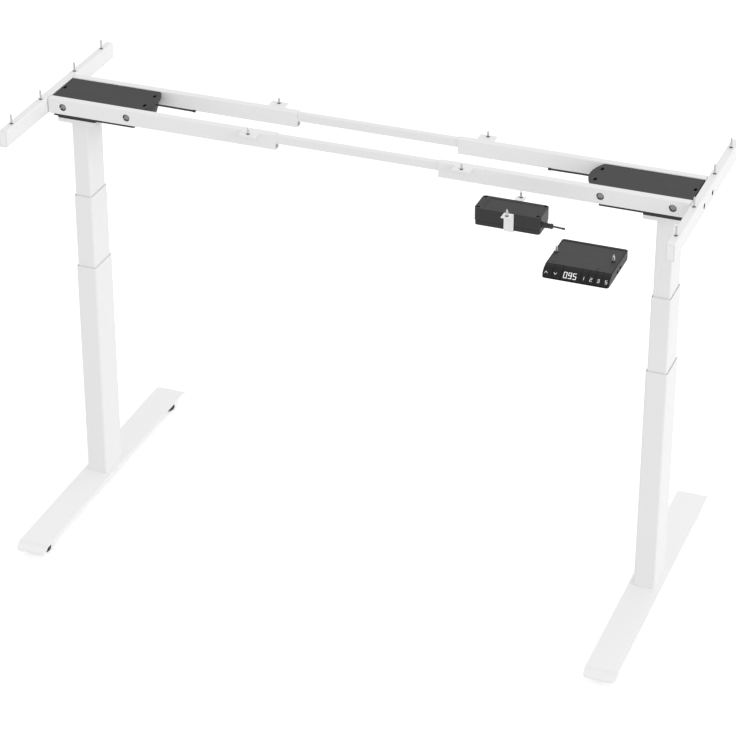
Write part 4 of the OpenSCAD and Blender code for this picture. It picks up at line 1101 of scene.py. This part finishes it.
PANEL_Y, PANEL_Z, PANEL_R = -384.488, 892.536, 31.5
DISPLAY_TEXT, DIGIT_X, DIGIT_STEP, DIGIT_SIZE = "095", 532.2, 8.6, (6.4, 12.3, 1.15)
DIGIT_ANGLE, KEY_ANGLE = 132.5, 133.5
KEY_SIGNS = (("key_one", "1", 564.8), ("key_two", "2", 579.6), ("key_three", "3", 593.4),
             ("key_save", "5", 607.7))
KEY_SIGN_SIZE = (4.2, 7.2, 0.8)
ARROWS = (("key_up", 496.5, 1), ("key_down", 513.4, -1))
ARROW_ARM, ARROW_HALF, ARROW_SLOPE = (5.0, 0.8), 1.4, 55
BARS = {"a": (0, 1, 0), "b": (0.5, 0.5, 1), "c": (0.5, -0.5, 1), "d": (0, -1, 0),
        "e": (-0.5, -0.5, 1), "f": (-0.5, 0.5, 1), "g": (0, 0, 0)}
DIGITS = {"0": "abcdef", "1": "bc", "2": "abged", "3": "abgcd", "5": "afgcd", "9": "abcdfg"}


def stroke(center, size, slant=0.0):
    """Flat bar in the XY plane, in millimetres, cut fine enough to follow the panel."""
    nothing_selected()
    bpy.ops.mesh.primitive_plane_add(size=1)
    bar = bpy.context.active_object
    bar.scale = (size[0] * MM, size[1] * MM, 1)
    bar.rotation_euler = (0, 0, slant)
    bar.location = (center[0] * MM, center[1] * MM, 0)
    take(bar)
    bpy.ops.object.transform_apply(location=True, rotation=True, scale=True)
    bpy.ops.object.mode_set(mode="EDIT")
    bpy.ops.mesh.select_all(action="SELECT")
    bpy.ops.mesh.subdivide(number_cuts=5)
    bpy.ops.object.mode_set(mode="OBJECT")
    return bar


def on_panel(bars, x, angle, name, body, target, finish):
    """Lays flat bars on the curved panel at x and angle, just proud of its surface."""
    made = join(bars)
    a = math.radians(angle)
    out = Vector((0, math.cos(a), math.sin(a)))
    up = Vector((0, math.sin(a), -math.cos(a)))
    place = Matrix.Translation(at(x, PANEL_Y, PANEL_Z) + out * (PANEL_R + 0.6) * MM)
    made.matrix_world = place @ Matrix((Vector((1, 0, 0)), up, out)).transposed().to_4x4()
    take(made)
    bpy.ops.object.transform_apply(location=True, rotation=True, scale=True)
    bpy.ops.object.modifier_add(type="SHRINKWRAP")
    wrap = made.modifiers[-1]
    wrap.target = target
    wrap.wrap_method = "NEAREST_SURFACEPOINT"
    wrap.offset = 0.00006
    bpy.ops.object.modifier_apply(modifier=wrap.name)
    return seat(made, name, body, finish)


def digit_bars(text, width, height, thick):
    """The bars of one digit, in millimetres round its middle."""
    bars = []
    for key in DIGITS[text]:
        x, y, upright = BARS[key]
        size = (thick, height / 2 - thick * 0.35) if upright else (width - thick * 0.35, thick)
        bars.append(stroke((x * (width - thick), y * (height - thick) / 2), size))
    return bars


class DESK_OT_signs(bpy.types.Operator):
    """Digits of the display and the signs on the keys"""
    bl_idname = "desk.signs"
    bl_label = "Signs"
    bl_options = {"REGISTER", "UNDO"}

    def execute(self, context):
        shown = frame["nodes"]["handset_display"]
        body = body_of("handset_display")
        for i, text in enumerate(DISPLAY_TEXT):
            on_panel(digit_bars(text, *DIGIT_SIZE), DIGIT_X + DIGIT_STEP * i, DIGIT_ANGLE,
                     "DisplayDigit_" + str(i), body, shown, "digits")
        for node, text, x in KEY_SIGNS:
            on_panel(digit_bars(text, *KEY_SIGN_SIZE), x, KEY_ANGLE, "Sign_" + node,
                     body_of(node), frame["nodes"][node], "legend")
        for node, x, rise in ARROWS:
            arms = [stroke((s * ARROW_HALF, 0), ARROW_ARM, -s * rise * math.radians(ARROW_SLOPE))
                    for s in (-1, 1)]
            on_panel(arms, x, KEY_ANGLE, "Sign_" + node, body_of(node), frame["nodes"][node],
                     "legend")
        return {"FINISHED"}


class DESK_OT_ports(bpy.types.Operator):
    """Painted shade in the handset's side sockets and under its nose, the rim on its top, and the
    sunk screws of the control box
    """
    bl_idname = "desk.ports"
    bl_label = "Ports and Box Screws"
    bl_options = {"REGISTER", "UNDO"}

    def execute(self, context):
        body = body_of("handset_body")
        for i, y in enumerate(PORT_Y):
            # Painted shade: a dark block fills each socket opening in place of its hollow
            port = slab(at(PORT_FACE_X, y, PORT_Z), (4.6, 10.6, 4.6))
            soften(port, 0.12 * MM)
            seat(port, "HandsetPortShade_" + str(i), body, "painted_shade_black")
        rim = join([slab(at(*place), size) for place, size in REAR_RIM])
        soften(rim, 0.45 * MM, 3)
        seat(rim, "HandsetRearRim", body, "panel")
        # Painted shade: a thin dark strip under the handset's nose, where the keys meet the body
        place, size = NOSE_SHADE_STRIP
        nose_shade_strip = slab(at(*place), size)
        soften(nose_shade_strip, 0.02 * MM)
        seat(nose_shade_strip, "HandsetNoseShadeStrip", body, "painted_shade_black")
        body = body_of("control_box_lid")
        for sx, sy in BOX_SCREWS:
            place = at(BOX_X + sx * BOX_SCREW_X, BOX_Y + sy * BOX_SCREW_Y, BOX_SCREW_Z)
            head = rod(place, (0, 0, 1), 2.9 * MM, 0.9 * MM, 20)
            for turn in (0, math.pi / 2):
                cut(head, slab(place + Vector((0, 0, 0.9 * MM)), (3.2, 0.7, 0.9), turn))
            soften(head, 0.2 * MM)
            seat(head, "BoxScrew_" + str(sx) + "_" + str(sy), body, "black_screw")
        return {"FINISHED"}


class DESK_PT_frame(bpy.types.Panel):
    """Lists the finishes and pieces of the desk frame"""
    bl_idname = "DESK_PT_frame"
    bl_label = "Desk Frame"
    bl_space_type = "VIEW_3D"
    bl_region_type = "UI"
    bl_category = "Desk Frame"

    def draw(self, context):
        layout = self.layout
        for settings in (context.scene.desk_finishes, context.scene.desk_stage):
            box = layout.box()
            for key in settings.__annotations__:
                box.prop(settings, key)
        for operator in OPERATORS:
            layout.operator(operator.bl_idname)


OPERATORS = (DESK_OT_stage, DESK_OT_cords, DESK_OT_finishes, DESK_OT_softened, DESK_OT_bolts,
             DESK_OT_screws, DESK_OT_signs, DESK_OT_ports)
CLASSES = (FinishSettings, StageSettings) + OPERATORS + (DESK_PT_frame,)


def register():
    for cls in CLASSES:
        bpy.utils.register_class(cls)
    bpy.types.Scene.desk_finishes = PointerProperty(type=FinishSettings)
    bpy.types.Scene.desk_stage = PointerProperty(type=StageSettings)


def unregister():
    del bpy.types.Scene.desk_stage
    del bpy.types.Scene.desk_finishes
    for cls in reversed(CLASSES):
        bpy.utils.unregister_class(cls)


def main():
    register()
    bpy.ops.desk.stage()
    bpy.ops.desk.cords()
    bpy.ops.desk.finishes()
    bpy.ops.desk.softened()
    bpy.ops.desk.bolts()
    bpy.ops.desk.screws()
    bpy.ops.desk.signs()
    bpy.ops.desk.ports()


if __name__ == "__main__":
    main()
